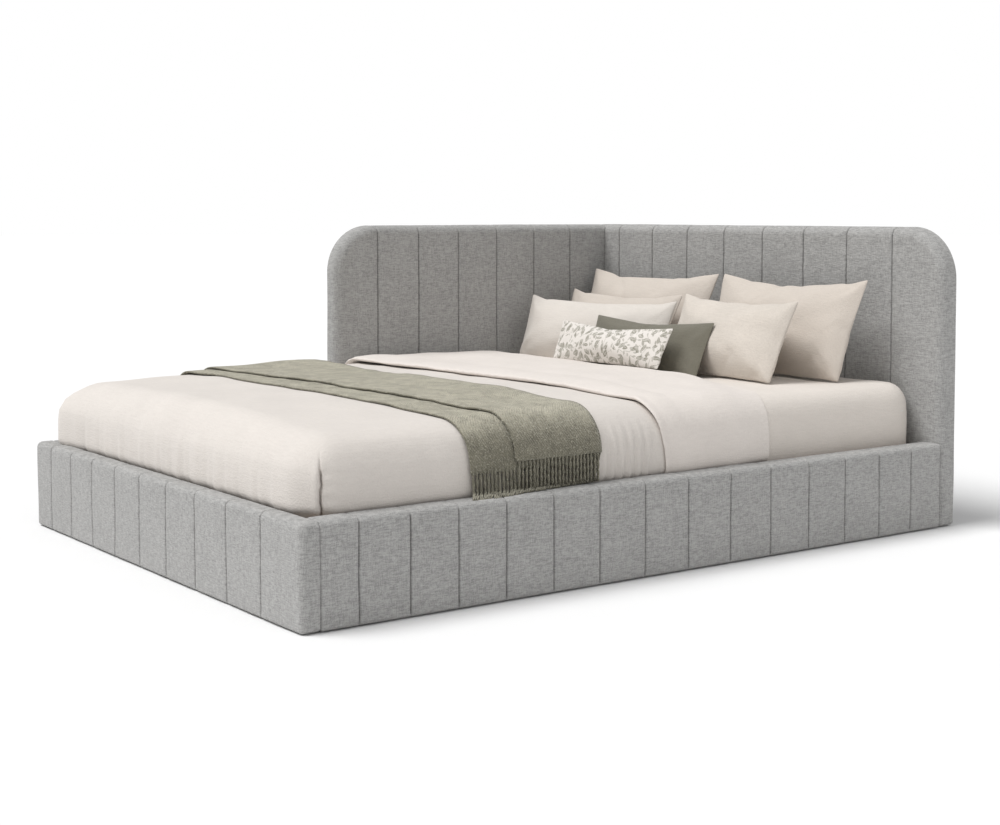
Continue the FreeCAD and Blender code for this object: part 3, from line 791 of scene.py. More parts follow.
# ---- throw --------------------------------------------------------------
def throw_section():
    """The folded throw seen from its end: (y, height) along one cloth through four plies."""
    inner_head = THROW_HEAD - 0.002
    ends = (THROW_HEAD, THROW_FOOT, inner_head, THROW_UPPER_FOOT, THROW_HEAD)
    section = []
    for start, end, ply in zip(ends, ends[1:], (0.5, 1.5, 2.6, 3.8)):
        height = ply * THROW_PLY
        direction = 1 if end > start else -1
        if section:
            last_y, last_height = section[-1]
            radius = (height - last_height) / 2
            for step in range(1, 6):
                turn = math.pi * step / 6
                bulge = -direction * radius * math.sin(turn)
                section.append((last_y + bulge, last_height + radius * (1 - math.cos(turn))))
        count = max(2, round(abs(end - start) / 0.012))
        section += [(start + (end - start) * step / count, height) for step in range(count + 1)]
    return np.array(section)


def throw_skew(share, y, upper):
    """The folds lie askew: towards the far side each one runs further to the foot."""
    lower_spread = (THROW_HEAD - y) / (THROW_HEAD - THROW_FOOT) * 0.022
    upper_spread = (THROW_HEAD - y) / (THROW_HEAD - THROW_UPPER_FOOT) * 0.080
    return y - share * (THROW_SKEW + lower_spread + (upper_spread - lower_spread) * upper)


def build_throw():
    duvet_low, duvet_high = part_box("duvet")
    near, far = duvet_high.x + 0.005, duvet_low.x - 0.005
    profile = Profile(near, far, DUVET_TOP + 0.001, THROW_SHOULDER, THROW_ROOT)
    section = throw_section()
    stations = np.linspace(0, 1, 191)
    share, index = (grid.ravel() for grid in np.meshgrid(stations, np.arange(len(section)), indexing="ij"))
    y, height = section[index].T
    shorter = (THROW_UPPER_ROOT - THROW_ROOT) * smooth_step(height, 1.5 * THROW_PLY, 2.6 * THROW_PLY)
    along = shorter + share * (profile.length - 2 * shorter)
    x, z, out_x, out_z = profile.at(along)
    over = out_z**2
    upper = smooth_step(height, 2.0 * THROW_PLY, 2.5 * THROW_PLY)
    place = level(along, y)
    y = y + 0.0008 * waves(place * (1, 0, 0), 0.14, 134)
    drift = np.clip((THROW_HEAD - y) / (THROW_HEAD - THROW_FOOT), 0, 1) * np.clip(out_x + over, 0, 1)
    y = y + THROW_DRIFT * drift * smooth_step(-z, -0.42, -THROW_ROOT)
    y = throw_skew((near - x) / (near - far), y, upper)
    ground = duvet_swell(x, y) * over + np.abs(out_x) * belly(z)
    lift = height + 0.0011 * waves(place, 0.13, 131) + 0.0009 * waves(place, 0.045, 132)
    lift += upper * 0.0012 * (1 + waves(place, 0.07, 133))
    lift += 0.0045 * bell(x, -0.60, 0.10) * over
    lift = ground + np.maximum(lift, height * 0.9)
    points = np.column_stack((x + out_x * lift, y, z + out_z * lift))
    piece = add_mesh("throw_blanket", points, quads(len(section), len(stations)), WOOL, "throw_wool")
    solidify(piece, THROW_PLY * 0.8)
    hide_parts("throw_lower", "throw_upper")
    fringes = [
        build_fringe("throw_fringe_near", profile.near, 1),
        build_fringe("throw_fringe_far", -profile.far, -1),
    ]


def build_fringe(name, wall, side):
    """Twisted two-strand tassels from the throw's end down onto the rail."""
    draw = np.random.default_rng(141 if side > 0 else 142)
    points = []
    faces = []
    rows = (
        (THROW_FOOT + 0.0135, THROW_HEAD - 0.004, 0.0005, THROW_ROOT, True),
        (THROW_FOOT + 0.008, THROW_HEAD - 0.004, 0.0050, THROW_ROOT, True),
        (THROW_UPPER_FOOT + 0.010, THROW_HEAD - 0.002, 0.0115, THROW_UPPER_ROOT, False),
    )
    for start, end, proud, root, lower_layer in rows:
        for y in np.arange(start, end, TASSEL_PITCH):
            y = y + draw.normal(0, 0.0004)
            if side < 0:
                y = throw_skew(1.0, y, 0.0 if lower_layer else 1.0)
            sway = draw.normal(0, 0.0008)
            length = draw.normal(0, 0.0015)
            route = tassel_route(wall, side, y, proud, root, length, sway, lower_layer)
            turn = draw.uniform(0, 2 * math.pi)
            for strand in (0, math.pi):
                add_strand(points, faces, route, turn + strand)
    return add_mesh(name, points, faces, WOOL_YARN, "throw_wool")


def tassel_route(wall, side, y, proud, root, length, sway, lower_layer):
    """Points down one tassel: out of the hem and down the side, the lower layer's tassels
    on over the rail's top."""
    rail_top = RAIL_TOP + TASSEL_RADIUS
    root_x = wall + proud + belly(root)
    tip_z = rail_top + 0.003 + length
    route = [
        (wall + proud + belly(root + 0.012), y, root + 0.012),
        (root_x, y, root),
        (root_x + 0.0015, y + sway * 0.5, root * 0.6 + tip_z * 0.4),
        (root_x + 0.0010, y + sway, tip_z),
    ]
    if lower_layer:
        reach = np.interp(y, (THROW_FOOT + 0.09, THROW_HEAD), (0.056, 0.014)) + length
        droop = 0.006 * smooth_step(reach, 0.044, 0.058)
        route[-1] = (root_x + 0.004, y + sway, rail_top + 0.004)
        route.append((wall + 0.8 * reach, y - 0.30 * reach + 1.3 * sway, rail_top + 0.001))
        route.append((wall + reach, y - 0.45 * reach + 1.5 * sway, rail_top - droop))
    return smooth_route(np.array(route) * (side, 1, 1), 15)


def smooth_route(points, count):
    """Evenly many points on a soft curve through a few points."""
    along = np.concatenate([[0], np.cumsum(np.linalg.norm(np.diff(points, axis=0), axis=1))])
    fine = np.linspace(0, along[-1], 60)
    line = np.column_stack([np.interp(fine, along, points[:, k]) for k in range(3)])
    for _ in range(12):
        line[1:-1] = (line[:-2] + 2 * line[1:-1] + line[2:]) / 4
    return line[np.linspace(0, 59, count).round().astype(int)]


def add_strand(points, faces, route, phase):
    """One twisted strand of a tassel as a six-sided tube with a frayed end."""
    last = len(route) - 1
    sides = 6
    faces += tube_faces(len(points), len(route), sides)
    strand = TASSEL_RADIUS * 0.62
    for index, centre in enumerate(route):
        along = route[min(index + 1, last)] - route[max(index - 1, 0)]
        across = np.cross(along, (0, 1, 0))
        across /= np.linalg.norm(across)
        third = np.cross(along / np.linalg.norm(along), across)
        twist = phase + index * 0.9
        taper = 1.0 - 0.45 * (index == last) + 0.10 * math.sin(index * 1.7 + phase)
        middle = centre + strand * 0.9 * (across * math.cos(twist) + third * math.sin(twist))
        for turn in (2 * math.pi * corner / sides for corner in range(sides)):
            ring = across * math.cos(turn) + third * math.sin(turn)
            points.append(middle + strand * taper * ring)


# ---- pillows ------------------------------------------------------------
PILLOW_CELL = 0.014
PILLOW_SLACK = 1.06
PILLOW_FRAMES = 26
TOP_SAG = 0.016
SIDE_PINCH = 0.020
FOOT_FULLNESS = 0.6
FOOT_TAPER = 0.05
CLOTH_SETTINGS = {
    "quality": 6,
    "mass": 0.25,
    "tension_stiffness": 25,
    "compression_stiffness": 25,
    "shear_stiffness": 8,
    "bending_stiffness": 0.25,
    "air_damping": 4,
    "use_pressure": True,
    "uniform_pressure_force": 5.0,
}


def envelope(width, height):
    """Two flat layers sewn together all round: points and faces."""
    across = max(8, round(width / PILLOW_CELL))
    up = max(8, round(height / PILLOW_CELL))
    points = []
    faces = []
    seen = {}

    def corner(layer, row, column):
        edge = row in (0, up) or column in (0, across)
        key = (0 if edge else layer, row, column)
        if key not in seen:
            seen[key] = len(points)
            u = 2 * column / across - 1
            v = 2 * row / up - 1
            swell = 0.006 * (1 - u * u) * (1 - v * v)
            points.append((u * width / 2, layer * swell, (v + 1) * height / 2))
        return seen[key]

    for place in product((-1, 1), range(up + 1), range(across + 1)):
        corner(*place)
    for layer, row, column in product((-1, 1), range(up), range(across)):
        steps = ((0, 0), (0, 1), (1, 1), (1, 0))
        quad = tuple(corner(layer, row + down, column + right) for down, right in steps)
        faces.append(quad if layer < 0 else quad[::-1])
    return np.array(points), faces


def inflate(points, faces):
    """The envelope after cloth pressure has filled it."""
    mesh = bpy.data.meshes.new("pillow_envelope")
    mesh.from_pydata(points.tolist(), [], faces)
    piece = bpy.data.objects.new("pillow_envelope", mesh)
    scene = bpy.context.scene
    scene.collection.objects.link(piece)
    cloth = piece.modifiers.new("filling", "CLOTH")
    for setting, value in CLOTH_SETTINGS.items():
        setattr(cloth.settings, setting, value)
    cloth.settings.effector_weights.gravity = 0
    cloth.point_cache.frame_start = 1
    cloth.point_cache.frame_end = PILLOW_FRAMES
    for number in range(1, PILLOW_FRAMES + 1):
        scene.frame_set(number)
    shown = piece.evaluated_get(bpy.context.evaluated_depsgraph_get())
    result = np.array([vertex.co for vertex in shown.data.vertices])
    bpy.data.objects.remove(piece)
    bpy.data.meshes.remove(mesh)
    scene.frame_set(1)
    return result


def fit_pillow(points, size):
    """Scales a filled pillow so that its corners and thickness are the wanted ones."""
    low, high = points.min(axis=0), points.max(axis=0)
    scaled = (points - (low + high) / 2) / (high - low)
    return (scaled + (0, 0, 0.5)) * (size[0], size[2], size[1])


def soften(filled, flat, size):
    """Draws the outline most of the way back to the sewn rectangle, and fills out the foot."""
    width, height, _ = size
    u = 2 * flat[:, 0] / width
    v = flat[:, 2] / height
    sag = TOP_SAG * width * (1 - u**2) * v**2
    pinch = SIDE_PINCH * height * (1 - (2 * v - 1) ** 2) * u
    x = (flat[:, 0] + 0.35 * (filled[:, 0] - flat[:, 0]) - pinch) * (1 - FOOT_TAPER * (1 - v))
    z = flat[:, 2] + (0.10 + 0.25 * v) * (filled[:, 2] - flat[:, 2]) - sag
    return np.column_stack((x, filled[:, 1] * (1 + FOOT_FULLNESS * (1 - v) ** 2), z))


def crease(points, size, seed):
    """Small folds that run in from the corners, and slight slackness over the face."""
    u = 2 * points[:, 0] / size[0]
    v = 2 * points[:, 2] / size[1] - 1
    inner = (1 - u**2).clip(0) * (1 - v**2).clip(0)
    slack = 0.0034 * waves(points, 0.10, 200 + seed) + 0.0011 * waves(points, 0.035, 300 + seed)
    amount = slack * inner**0.4
    for corner_u, corner_v in CORNER_SIGNS:
        du = np.abs(u - corner_u) * size[0] / 2
        dv = np.abs(v - corner_v) * size[1] / 2
        distance = np.hypot(du, dv)
        angle = np.arctan2(dv, du + TINY)
        strength = 0.0026 if corner_v > 0 else 0.0055
        folds = np.sin(angle * 10 + seed * 1.7 + corner_u) * np.sin(angle * 2) ** 2
        fade = smooth_step(distance, 0.006, 0.035) * (1 - smooth_step(distance, 0.05, 0.15))
        amount += strength * folds * fade * inner**0.2
    return points + level(np.zeros(len(u)), np.sign(points[:, 1]) * amount)


def settle(points, place):
    """Flattens what would sink below the surface that the pillow rests on."""
    back = place.inverted()
    rest = place.translation.z
    settled = []
    for point in (place @ Vector(point) for point in points):
        if point.z < rest:
            point.z = rest - 0.02 * (rest - point.z)
        settled.append(tuple(back @ point))
    return np.array(settled)


def build_pillow(name, cloth, spot, rest, turn, lean, size, fill, seed):
    sewn = size[0] * PILLOW_SLACK, size[1] * PILLOW_SLACK
    points, faces = envelope(*sewn)
    filled = inflate(points, faces)
    filled = soften(fit_pillow(filled, size), points / PILLOW_SLACK, size)
    place = Matrix.Translation((*spot, rest))
    place = place @ Matrix.Rotation(math.radians(turn), 4, "Z")
    place = place @ Matrix.Rotation(-math.radians(lean), 4, "X")
    filled = settle(crease(filled, size, seed), place)
    piece = add_mesh(name + "_filled", filled, faces, *cloth, place)
    smooth = piece.modifiers.new("smooth", "SUBSURF")
    smooth.levels = 2
    smooth.render_levels = 2
    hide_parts(name)


# ---- materials ----------------------------------------------------------
class Shade:
    """A small builder for one material's nodes, on the piece's own coordinates."""

    def __init__(self, name, roughness, specular=0.5, sheen=0.0, fuzz=0.5, metallic=0.0):
        self.material = bpy.data.materials.new(name)
        self.material.use_nodes = True
        self.nodes = self.material.node_tree.nodes
        self.links = self.material.node_tree.links
        self.sockets = self.nodes["Principled BSDF"].inputs
        self.sockets["Roughness"].default_value = roughness
        self.sockets["Specular IOR Level"].default_value = specular
        self.sockets["Sheen Weight"].default_value = sheen
        self.sockets["Sheen Roughness"].default_value = fuzz
        self.sockets["Metallic"].default_value = metallic
        self.coordinates = self.nodes.new("ShaderNodeTexCoord").outputs
        self.place = self.coordinates["Object"]

    def node(self, kind, settings=(), inputs=(), output=0):
        made = self.nodes.new(kind)
        for key, value in dict(settings).items():
            setattr(made, key, value)
        for key, value in dict(inputs).items():
            if isinstance(value, bpy.types.NodeSocket):
                self.links.new(value, made.inputs[key])
            else:
                made.inputs[key].default_value = value
        return made.outputs[output]

    def noise(self, scale, detail=2.0, turn=(0, 0, 0), distortion=0.0):
        """Noise with its own number of bumps per metre along each axis."""
        inputs = {"Vector": self.place, "Scale": scale, "Rotation": turn}
        stretched = self.node("ShaderNodeMapping", inputs=inputs)
        inputs = {"Vector": stretched, "Scale": 1.0, "Detail": detail, "Distortion": distortion}
        return self.node("ShaderNodeTexNoise", inputs=inputs)

    def specks(self, scale, detail=2.0, low=0.3, high=0.7, distortion=0.0):
        """Noise spread to 0 to 1; one number for the scale is the same along every axis."""
        scale = scale if isinstance(scale, tuple) else (scale,) * 3
        return self.ranged(self.noise(scale, detail, distortion=distortion), low, high)

    def ranged(self, value, low, high, first=0.0, last=1.0):
        inputs = {0: value, 1: low, 2: high, 3: first, 4: last}
        return self.node("ShaderNodeMapRange", {"clamp": True}, inputs)

    def sum(self, first, second, operation="ADD"):
        return self.node("ShaderNodeMath", {"operation": operation}, {0: first, 1: second})

    def part(self, value, weight):
        return self.sum(value, weight, "MULTIPLY")

    def blend(self, *parts):
        """The sum of values, each times its weight."""
        total = self.part(*parts[0])
        for value, weight in parts[1:]:
            total = self.sum(total, self.part(value, weight))
        return total

    def mixed(self, factor, first, second):
        return self.node("ShaderNodeMix", {"data_type": "RGBA"}, {0: factor, 6: first, 7: second}, 2)

    def tones(self, factor, colour, low, high):
        return self.mixed(factor, tone(colour, low), tone(colour, high))

    def finish(self, colour, height=None, depth=0.001, strength=1.0):
        self.links.new(colour, self.sockets["Base Color"])
        if height is not None:
            inputs = {"Height": height, "Distance": depth, "Strength": strength}
            self.links.new(self.node("ShaderNodeBump", inputs=inputs), self.sockets["Normal"])
        return self.material


def tone(colour, factor):
    return tuple(min(1.0, channel * factor) for channel in colour) + (1.0,)


def woven_cloth(name, colour, contrast, streak, fleck, depth):
    """Cloth with slubs along its threads, fine flecks, and a fuzzy sheen."""
    shade = Shade(name, 0.9, 0.2, 0.25, 0.45)
    slubs = shade.specks(streak, 3.0, 0.34, 0.66)
    flecks = shade.specks(fleck, 1.0)
    factor = shade.blend((slubs, 0.50), (flecks, 0.32), (shade.specks(9, 3.0), 0.18))
    return shade.finish(
        shade.tones(factor, colour, 1 - contrast, 1 + contrast), shade.sum(slubs, flecks), depth
    )


def melange(name, colour, contrast):
    """Upholstery weave: flecked level threads crossed by flecked upright ones."""
    shade = Shade(name, 0.92, 0.15, 0.15)
    level_threads = shade.specks((64, 64, 400), 3.0, 0.37, 0.63)
    upright = shade.specks((360, 360, 55), 3.0, 0.37, 0.63)
    flecks = shade.specks(400, 3.0, 0.37, 0.63)
    cloudy = shade.specks(10, 3.0)
    factor = shade.blend((level_threads, 0.38), (upright, 0.24), (flecks, 0.30), (cloudy, 0.08))
    mixed = shade.tones(factor, colour, 1 - contrast, 1 + contrast)
    return shade.finish(mixed, shade.sum(level_threads, upright), 0.0003)


def plain_cotton(name, colour, contrast=0.055, sheen=0.15):
    """Smooth bed linen: a fine weave, faint slubs and a slightly uneven tone."""
    shade = Shade(name, 0.85, 0.15, sheen)
    weave = shade.specks(420)
    slubs_x = shade.specks((30, 260, 260), 2.0, 0.35, 0.65)
    slubs_y = shade.specks((260, 30, 200), 2.0, 0.35, 0.65)
    threads = shade.sum(slubs_x, slubs_y)
    factor = shade.blend((threads, 0.3), (shade.specks(7, 3.0), 0.4))
    mixed = shade.tones(factor, colour, 1 - contrast, 1 + contrast)
    return shade.finish(mixed, shade.sum(weave, threads), 0.00035, 0.7)


def wool(name, colour, pale, sheen=0.5):
    """Brushed twill: diagonal ribs, bright fibres and a pale bloom at grazing angles, with faces that point
    up painted paler as painted sheen.
    """
    shade = Shade(name, 0.95, 0.1, sheen, 0.36)
    shade.sockets["Sheen Tint"].default_value = (*WOOL_BLOOM, 1.0)
    settings = {"wave_type": "BANDS", "bands_direction": "DIAGONAL"}
    inputs = {"Vector": shade.place, "Scale": 88.0, "Distortion": 5.0, "Detail": 2.0, "Detail Scale": 0.9}
    twill = shade.node("ShaderNodeTexWave", settings, inputs, 1)
    nap = shade.specks(150, 4.0, 0.32, 0.68, 0.8)
    fibres = shade.noise((110, 300, 300), 3.0, (0, math.radians(-40), math.radians(-30)), 0.5)
    bright = shade.ranged(fibres, 0.56, 0.70)
    cloudy = shade.specks(26, 5.0, 0.34, 0.66, 0.6)
    factor = shade.blend((twill, 0.26), (nap, 0.36), (cloudy, 0.38))
    # Painted sheen: faces that point up get the paler colour, standing in for the light the throw's top
    # catches at grazing angles.
    upward = shade.node("ShaderNodeSeparateXYZ", inputs={0: shade.coordinates["Normal"]}, output=2)
    painted_top_sheen = shade.ranged(upward, 0.55, 0.97, 0.0, 0.85)
    side = shade.tones(factor, colour, 0.58, 1.38)
    base = shade.mixed(painted_top_sheen, side, shade.tones(factor, pale, 0.46, 1.50))
    mixed = shade.mixed(bright, base, tone(pale, 1.15))
    return shade.finish(mixed, shade.sum(shade.sum(twill, nap), bright), 0.0016, 0.9)


def leaf_mask(shade, cells, length, width, shift):
    """One leaf in each cell of a scattered pattern, turned its own way."""
    vector = "ShaderNodeVectorMath"
    place = shade.node(vector, {"operation": "ADD"}, {0: shade.place, 1: shift})
    flat = shade.node(vector, {"operation": "MULTIPLY"}, {0: place, 1: (1, 0, 1)})
    inputs = {"Vector": flat, "Scale": cells, "Randomness": 0.85}
    cell = shade.node("ShaderNodeTexVoronoi", {"feature": "F1"}, inputs).node.outputs
    offset = shade.node(vector, {"operation": "SUBTRACT"}, {0: flat, 1: cell["Position"]})
    random = shade.node("ShaderNodeSeparateColor", inputs={"Color": cell["Color"]})
    inputs = {"Vector": offset, "Angle": shade.part(random, 2 * math.pi)}
    turned = shade.node("ShaderNodeVectorRotate", {"rotation_type": "Y_AXIS"}, inputs)
    parts = shade.node("ShaderNodeSeparateXYZ", inputs={0: turned}).node.outputs
    u = shade.sum(parts["X"], length, "DIVIDE")
    across = shade.sum(shade.sum(parts["Z"], width, "DIVIDE"), 0.0, "ABSOLUTE")
    tip = shade.sum(shade.sum(1.0, shade.sum(u, u, "MULTIPLY"), "SUBTRACT"), 0.001, "MAXIMUM")
    leaf = shade.ranged(shade.sum(tip, across, "SUBTRACT"), 0.0, 0.12)
    return shade.part(leaf, shade.ranged(across, 0.06, 0.14, 0.35, 1.0))


def leaf_print(name, ground, ink):
    """Cream cotton printed with scattered leaves and small sprigs in two strengths."""
    shade = Shade(name, 0.88, 0.15, 0.15)
    large = leaf_mask(shade, 24.0, 0.0150, 0.0072, (0.0, 0.0, 0.0))
    second = leaf_mask(shade, 29.0, 0.0125, 0.0052, (0.31, 0.0, 0.17))
    small = leaf_mask(shade, 44.0, 0.0080, 0.0032, (0.57, 0.0, 0.43))
    stems = leaf_mask(shade, 26.0, 0.0200, 0.0009, (0.11, 0.0, 0.73))
    ink_amount = shade.sum(large, second, "MAXIMUM")
    for faint in (small, stems):
        ink_amount = shade.sum(ink_amount, shade.part(faint, 0.8), "MAXIMUM")
    fade = shade.ranged(shade.noise((90, 90, 90), 3.0), 0.30, 0.62, 0.45, 1.0)
    weave = shade.specks(420)
    mixed = shade.mixed(shade.part(ink_amount, fade), shade.tones(weave, ground, 0.96, 1.03), tone(ink, 1.0))
    return shade.finish(mixed, weave, 0.0003, 0.7)


def timber(name, colour, dark, along, roughness=0.6):
    """Planed wood: growth rings stretched along the piece, pores and a few darker streaks."""
    shade = Shade(name, roughness, 0.35)
    rings_scale = tuple(2.5 if axis == along else 40.0 for axis in range(3))
    pores_scale = tuple(30.0 if axis == along else 900.0 for axis in range(3))
    rings = shade.specks(rings_scale, 4.0, 0.35, 0.65, 0.4)
    pores = shade.specks(pores_scale, 2.0, 0.45, 0.75)
    wood = shade.mixed(rings, tone(colour, 1.0), tone(dark, 1.0))
    mixed = shade.mixed(shade.part(pores, 0.25), wood, tone(dark, 0.55))
    return shade.finish(mixed, pores, 0.0003, 0.6)


def pressed_board(name, colour):
    """Wood-fibre board: short pale and dark chips in a tan ground."""
    shade = Shade(name, 0.8, 0.2)
    chips = shade.specks((160, 260, 160), 4.0, 0.35, 0.65, 0.8)
    ground = shade.tones(chips, colour, 0.78, 1.18)
    mixed = shade.mixed(shade.part(shade.specks(700), 0.2), ground, tone(colour, 0.5))
    return shade.finish(mixed, chips, 0.0004, 0.6)


def zinc(name):
    """Zinc-plated sheet steel with a spangled, lightly scuffed finish."""
    shade = Shade(name, 0.42, metallic=1.0)
    spangle = shade.specks(85, 2.0, 0.35, 0.65, 1.5)
    scuffs = shade.specks((60, 900, 900), 3.0, 0.5, 0.75)
    mixed = shade.mixed(spangle, (0.46, 0.47, 0.49, 1.0), (0.62, 0.63, 0.64, 1.0))
    mixed = shade.mixed(shade.part(scuffs, 0.3), mixed, (0.30, 0.30, 0.31, 1.0))
    shade.links.new(shade.ranged(spangle, 0.0, 1.0, 0.34, 0.50), shade.sockets["Roughness"])
    return shade.finish(mixed, scuffs, 0.0002, 0.5)


def felt(name, colour):
    shade = Shade(name, 1.0, 0.05, 0.6)
    fibres = shade.specks(500, 5.0, distortion=2.0)
    return shade.finish(shade.tones(fibres, colour, 0.7, 1.3), fibres, 0.0006, 0.8)


def moulded_plastic(name, colour):
    shade = Shade(name, 0.5, 0.45)
    dust = shade.specks(25, 3.0, 0.4, 0.8)
    return shade.finish(shade.tones(dust, colour, 1.0, 1.8), shade.specks(900, 3.0), 0.0002, 0.5)


def webbing(name, colour):
    """Flat polyester tape with ribs across it."""
    shade = Shade(name, 0.8, 0.2, 0.3, 0.4)
    ribs = shade.specks((120, 1100, 1100), 1.0, 0.35, 0.65)
    return shade.finish(shade.tones(ribs, colour, 0.7, 1.25), ribs, 0.0005, 0.8)


WOOL_BLOOM = (0.92, 0.89, 0.79)

UPHOLSTERY = melange("upholstery_grey", (0.348, 0.344, 0.336), 0.38)
LINING = woven_cloth("lining_black", (0.035, 0.035, 0.037), 0.30, 300, 700, 0.0004)
TICKING = woven_cloth("mattress_ticking_white", (0.70, 0.69, 0.66), 0.06, (90, 90, 300), 500, 0.0005)
DUVET_COTTON = plain_cotton("duvet_cotton_white", (0.642, 0.600, 0.560))
# Painted light: the band is the duvet's own cloth turned back, given a lighter copy of its cotton.
BAND_COTTON_PAINTED_LIGHTER = plain_cotton("duvet_cotton_reverse_painted_lighter", (0.690, 0.640, 0.598))
SHEET_COTTON = plain_cotton("sheet_cotton_cream", (0.675, 0.625, 0.575))
# Each wool's second colour is the painted sheen on faces that point up, and also the colour of its bright
# fibres.
WOOL = wool("wool_sage", (0.196, 0.184, 0.142), (0.46, 0.435, 0.350))
WOOL_YARN = wool("wool_yarn_sage", (0.245, 0.230, 0.180), (0.40, 0.38, 0.31), 0.3)
STEEL = zinc("zinc_plated_steel")
BEIGE = plain_cotton("pillow_cotton_beige", (0.555, 0.500, 0.445)), "pillow_beige"
CREAM = plain_cotton("pillow_cotton_cream", (0.620, 0.578, 0.532)), "pillow_cream"
# Painted shade: a darker, more contrasting copy of the cream pillow cotton for the front right cream pillow.
CREAM_PAINTED_DARKER = plain_cotton("pillow_cotton_cream_painted_darker", (0.580, 0.530, 0.475), 0.10), "pillow_cream"
SAGE = plain_cotton("cushion_cotton_sage", (0.155, 0.145, 0.113), 0.06, 0.35), "cushion_sage"
PRINT = leaf_print("cushion_cotton_print", (0.68, 0.645, 0.605), (0.25, 0.24, 0.195)), "cushion_print"

# name: cloth and slot, middle of the lower edge (x, y), resting height, turn and lean in
# degrees, size (width, height, thickness), fill, and the seed of its creases
PILLOWS = {
    "pillow_back_left": (BEIGE, (-0.382, 0.838), 0.4135, 0, 20, (0.642, 0.320, 0.092), 0.6, 1),
    "pillow_back_right": (BEIGE, (0.297, 0.803), 0.4135, 0, 20, (0.612, 0.322, 0.122), 0.75, 2),
    "pillow_middle_left": (BEIGE, (-0.393, 0.736), 0.4135, 0, 22, (0.575, 0.252, 0.072), 0.6, 3),
    "pillow_front_left": (CREAM, (-0.347, 0.612), 0.4135, 9, 22, (0.645, 0.235, 0.080), 0.7, 4),
    "pillow_front_right": (CREAM_PAINTED_DARKER, (0.253, 0.628), 0.4135, -3, 22, (0.516, 0.264, 0.100), 0.75, 5),
    "cushion_plain": (SAGE, (0.008, 0.540), 0.4135, 4, 22, (0.515, 0.184, 0.056), 0.6, 6),
    "cushion_leaf_print": (PRINT, (-0.075, 0.466), 0.4370, 3, 24, (0.512, 0.141, 0.056), 0.6, 7),
}


def dress_cad_nodes():
    """Better materials for the CAD pieces that stay: timbers, boards, slats and fittings."""
    pine, pine_dark = (0.56, 0.40, 0.24), (0.40, 0.25, 0.13)
    birch, birch_dark = (0.62, 0.48, 0.32), (0.47, 0.33, 0.20)
    woods = [timber("pine_along_" + axis, pine, pine_dark, index) for index, axis in enumerate("xyz")]
    by_word = {
        "slats": timber("birch_slat", birch, birch_dark, 0, 0.45),
        "slat_tapes": webbing("slat_tape", (0.55, 0.55, 0.53)),
        "_board": pressed_board("fibre_board", (0.42, 0.29, 0.18)),
        "glides": felt("glide_felt_grey", (0.16, 0.16, 0.15)),
        "leg_pad": moulded_plastic("leg_pad_black", (0.02, 0.02, 0.02)),
    }
    by_word.update((word, STEEL) for word in ("bracket", "bolts", "hanger", "splice"))
    for name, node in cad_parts.items():
        low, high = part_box(name)
        size = high - low
        plain = woods[max(range(3), key=lambda axis: size[axis])]
        fitting = [material for word, material in by_word.items() if word in name]
        node.data.materials.clear()
        node.data.materials.append((fitting + [plain])[0])


# ---- stage --------------------------------------------------------------
CAMERA_PLACE = (3.8666, -2.7745, 0.9107)
CAMERA_TILT = 3.497
CAMERA_TURN = 54.154
CAMERA_LENS = 59.478
CAMERA_SHIFT = -0.10
KEY_STRENGTH = 2.62
KEY_DIRECTION = (-0.20, -0.46, 0.87)
KEY_SOFTNESS = 35
SKY_LIGHT = 0.49
FILL_STRENGTH = 0.42
FILL_DIRECTION = (0.80, -0.10, 0.60)
FILL_SOFTNESS = 80
FLOOR_TONE = 0.80
FLOOR_REACH = 60.0
FLOOR_SIDES = 64


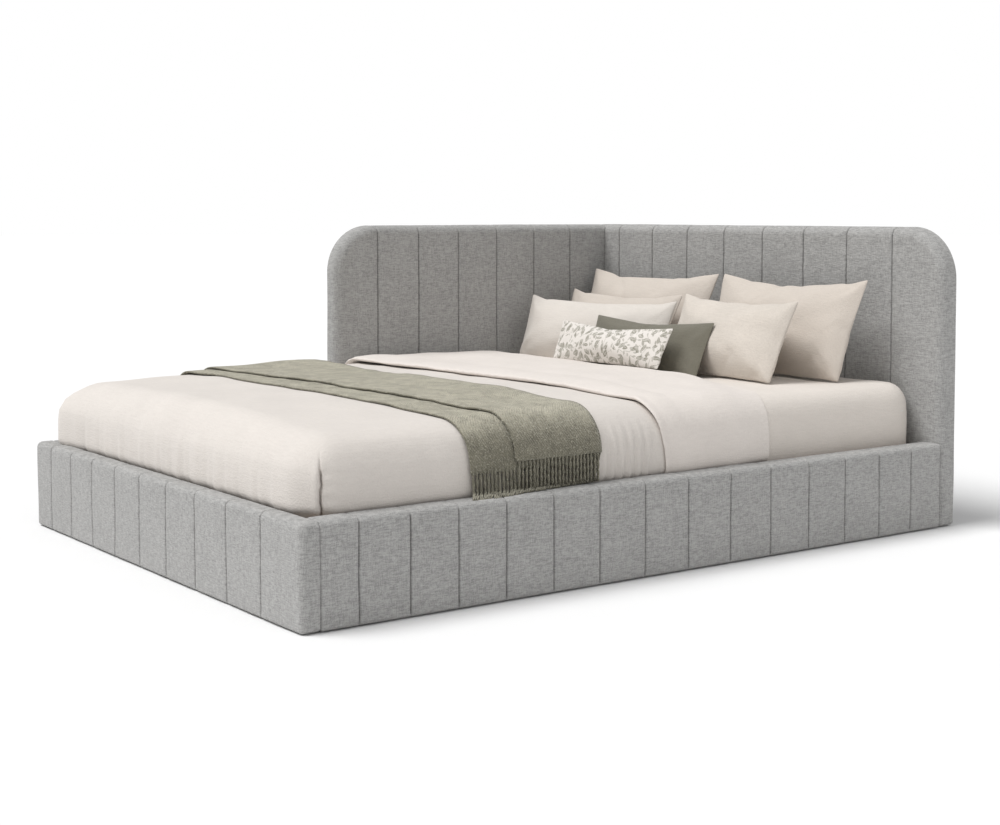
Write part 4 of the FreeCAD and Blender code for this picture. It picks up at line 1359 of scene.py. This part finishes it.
def build_stage():
    scene = bpy.context.scene
    scene.view_settings.view_transform = "Standard"
    camera_data = bpy.data.cameras.new("camera")
    camera_data.lens = CAMERA_LENS
    camera_data.sensor_width = 36
    camera_data.shift_y = CAMERA_SHIFT
    camera_data.clip_end = 200
    camera = bpy.data.objects.new("camera", camera_data)
    camera.location = CAMERA_PLACE
    camera.rotation_euler = (math.radians(90 - CAMERA_TILT), 0, math.radians(CAMERA_TURN))
    scene.collection.objects.link(camera)
    scene.camera = camera
    add_sun(scene, "key", KEY_STRENGTH, KEY_DIRECTION, KEY_SOFTNESS)
    add_sun(scene, "fill", FILL_STRENGTH, FILL_DIRECTION, FILL_SOFTNESS)
    build_world(scene)
    build_floor()


def add_sun(scene, name, strength, direction, softness):
    light = bpy.data.lights.new(name, "SUN")
    light.energy = strength
    light.angle = math.radians(softness)
    sun = bpy.data.objects.new(name, light)
    sun.rotation_euler = Vector(direction).to_track_quat("Z", "Y").to_euler()
    scene.collection.objects.link(sun)


def build_world(scene):
    """Even white light from all round; the backdrop itself reads as white."""
    world = bpy.data.worlds.new("studio")
    world.use_nodes = True
    nodes, links = world.node_tree.nodes, world.node_tree.links
    background = nodes["Background"].inputs
    background["Color"].default_value = (1.0, 1.0, 1.0, 1.0)
    strength = nodes.new("ShaderNodeMapRange")
    strength.inputs["To Min"].default_value = SKY_LIGHT
    strength.inputs["To Max"].default_value = 1.0
    seen = nodes.new("ShaderNodeLightPath").outputs["Is Camera Ray"]
    links.new(seen, strength.inputs["Value"])
    links.new(strength.outputs["Result"], background["Strength"])
    scene.world = world


def build_floor():
    mesh = bpy.data.meshes.new("studio_floor")
    turns = [2 * math.pi * side / FLOOR_SIDES for side in range(FLOOR_SIDES)]
    rim = [(FLOOR_REACH * math.cos(turn), FLOOR_REACH * math.sin(turn), 0) for turn in turns]
    mesh.from_pydata(rim, [], [tuple(range(FLOOR_SIDES))])
    shade = Shade("studio_floor_pale", 0.95, 0.0)
    mesh.materials.append(shade.finish(shade.tones(shade.specks(3), (FLOOR_TONE,) * 3, 0.995, 1.005)))
    floor = bpy.data.objects.new("studio_floor", mesh)
    bpy.context.scene.collection.objects.link(floor)


build_stage()
dress_cad_nodes()
build_covers()
build_linings()
build_mattress()
build_sheet()
build_duvet()
build_band()
build_throw()
for pillow_name, pillow in PILLOWS.items():
    build_pillow(pillow_name, *pillow)
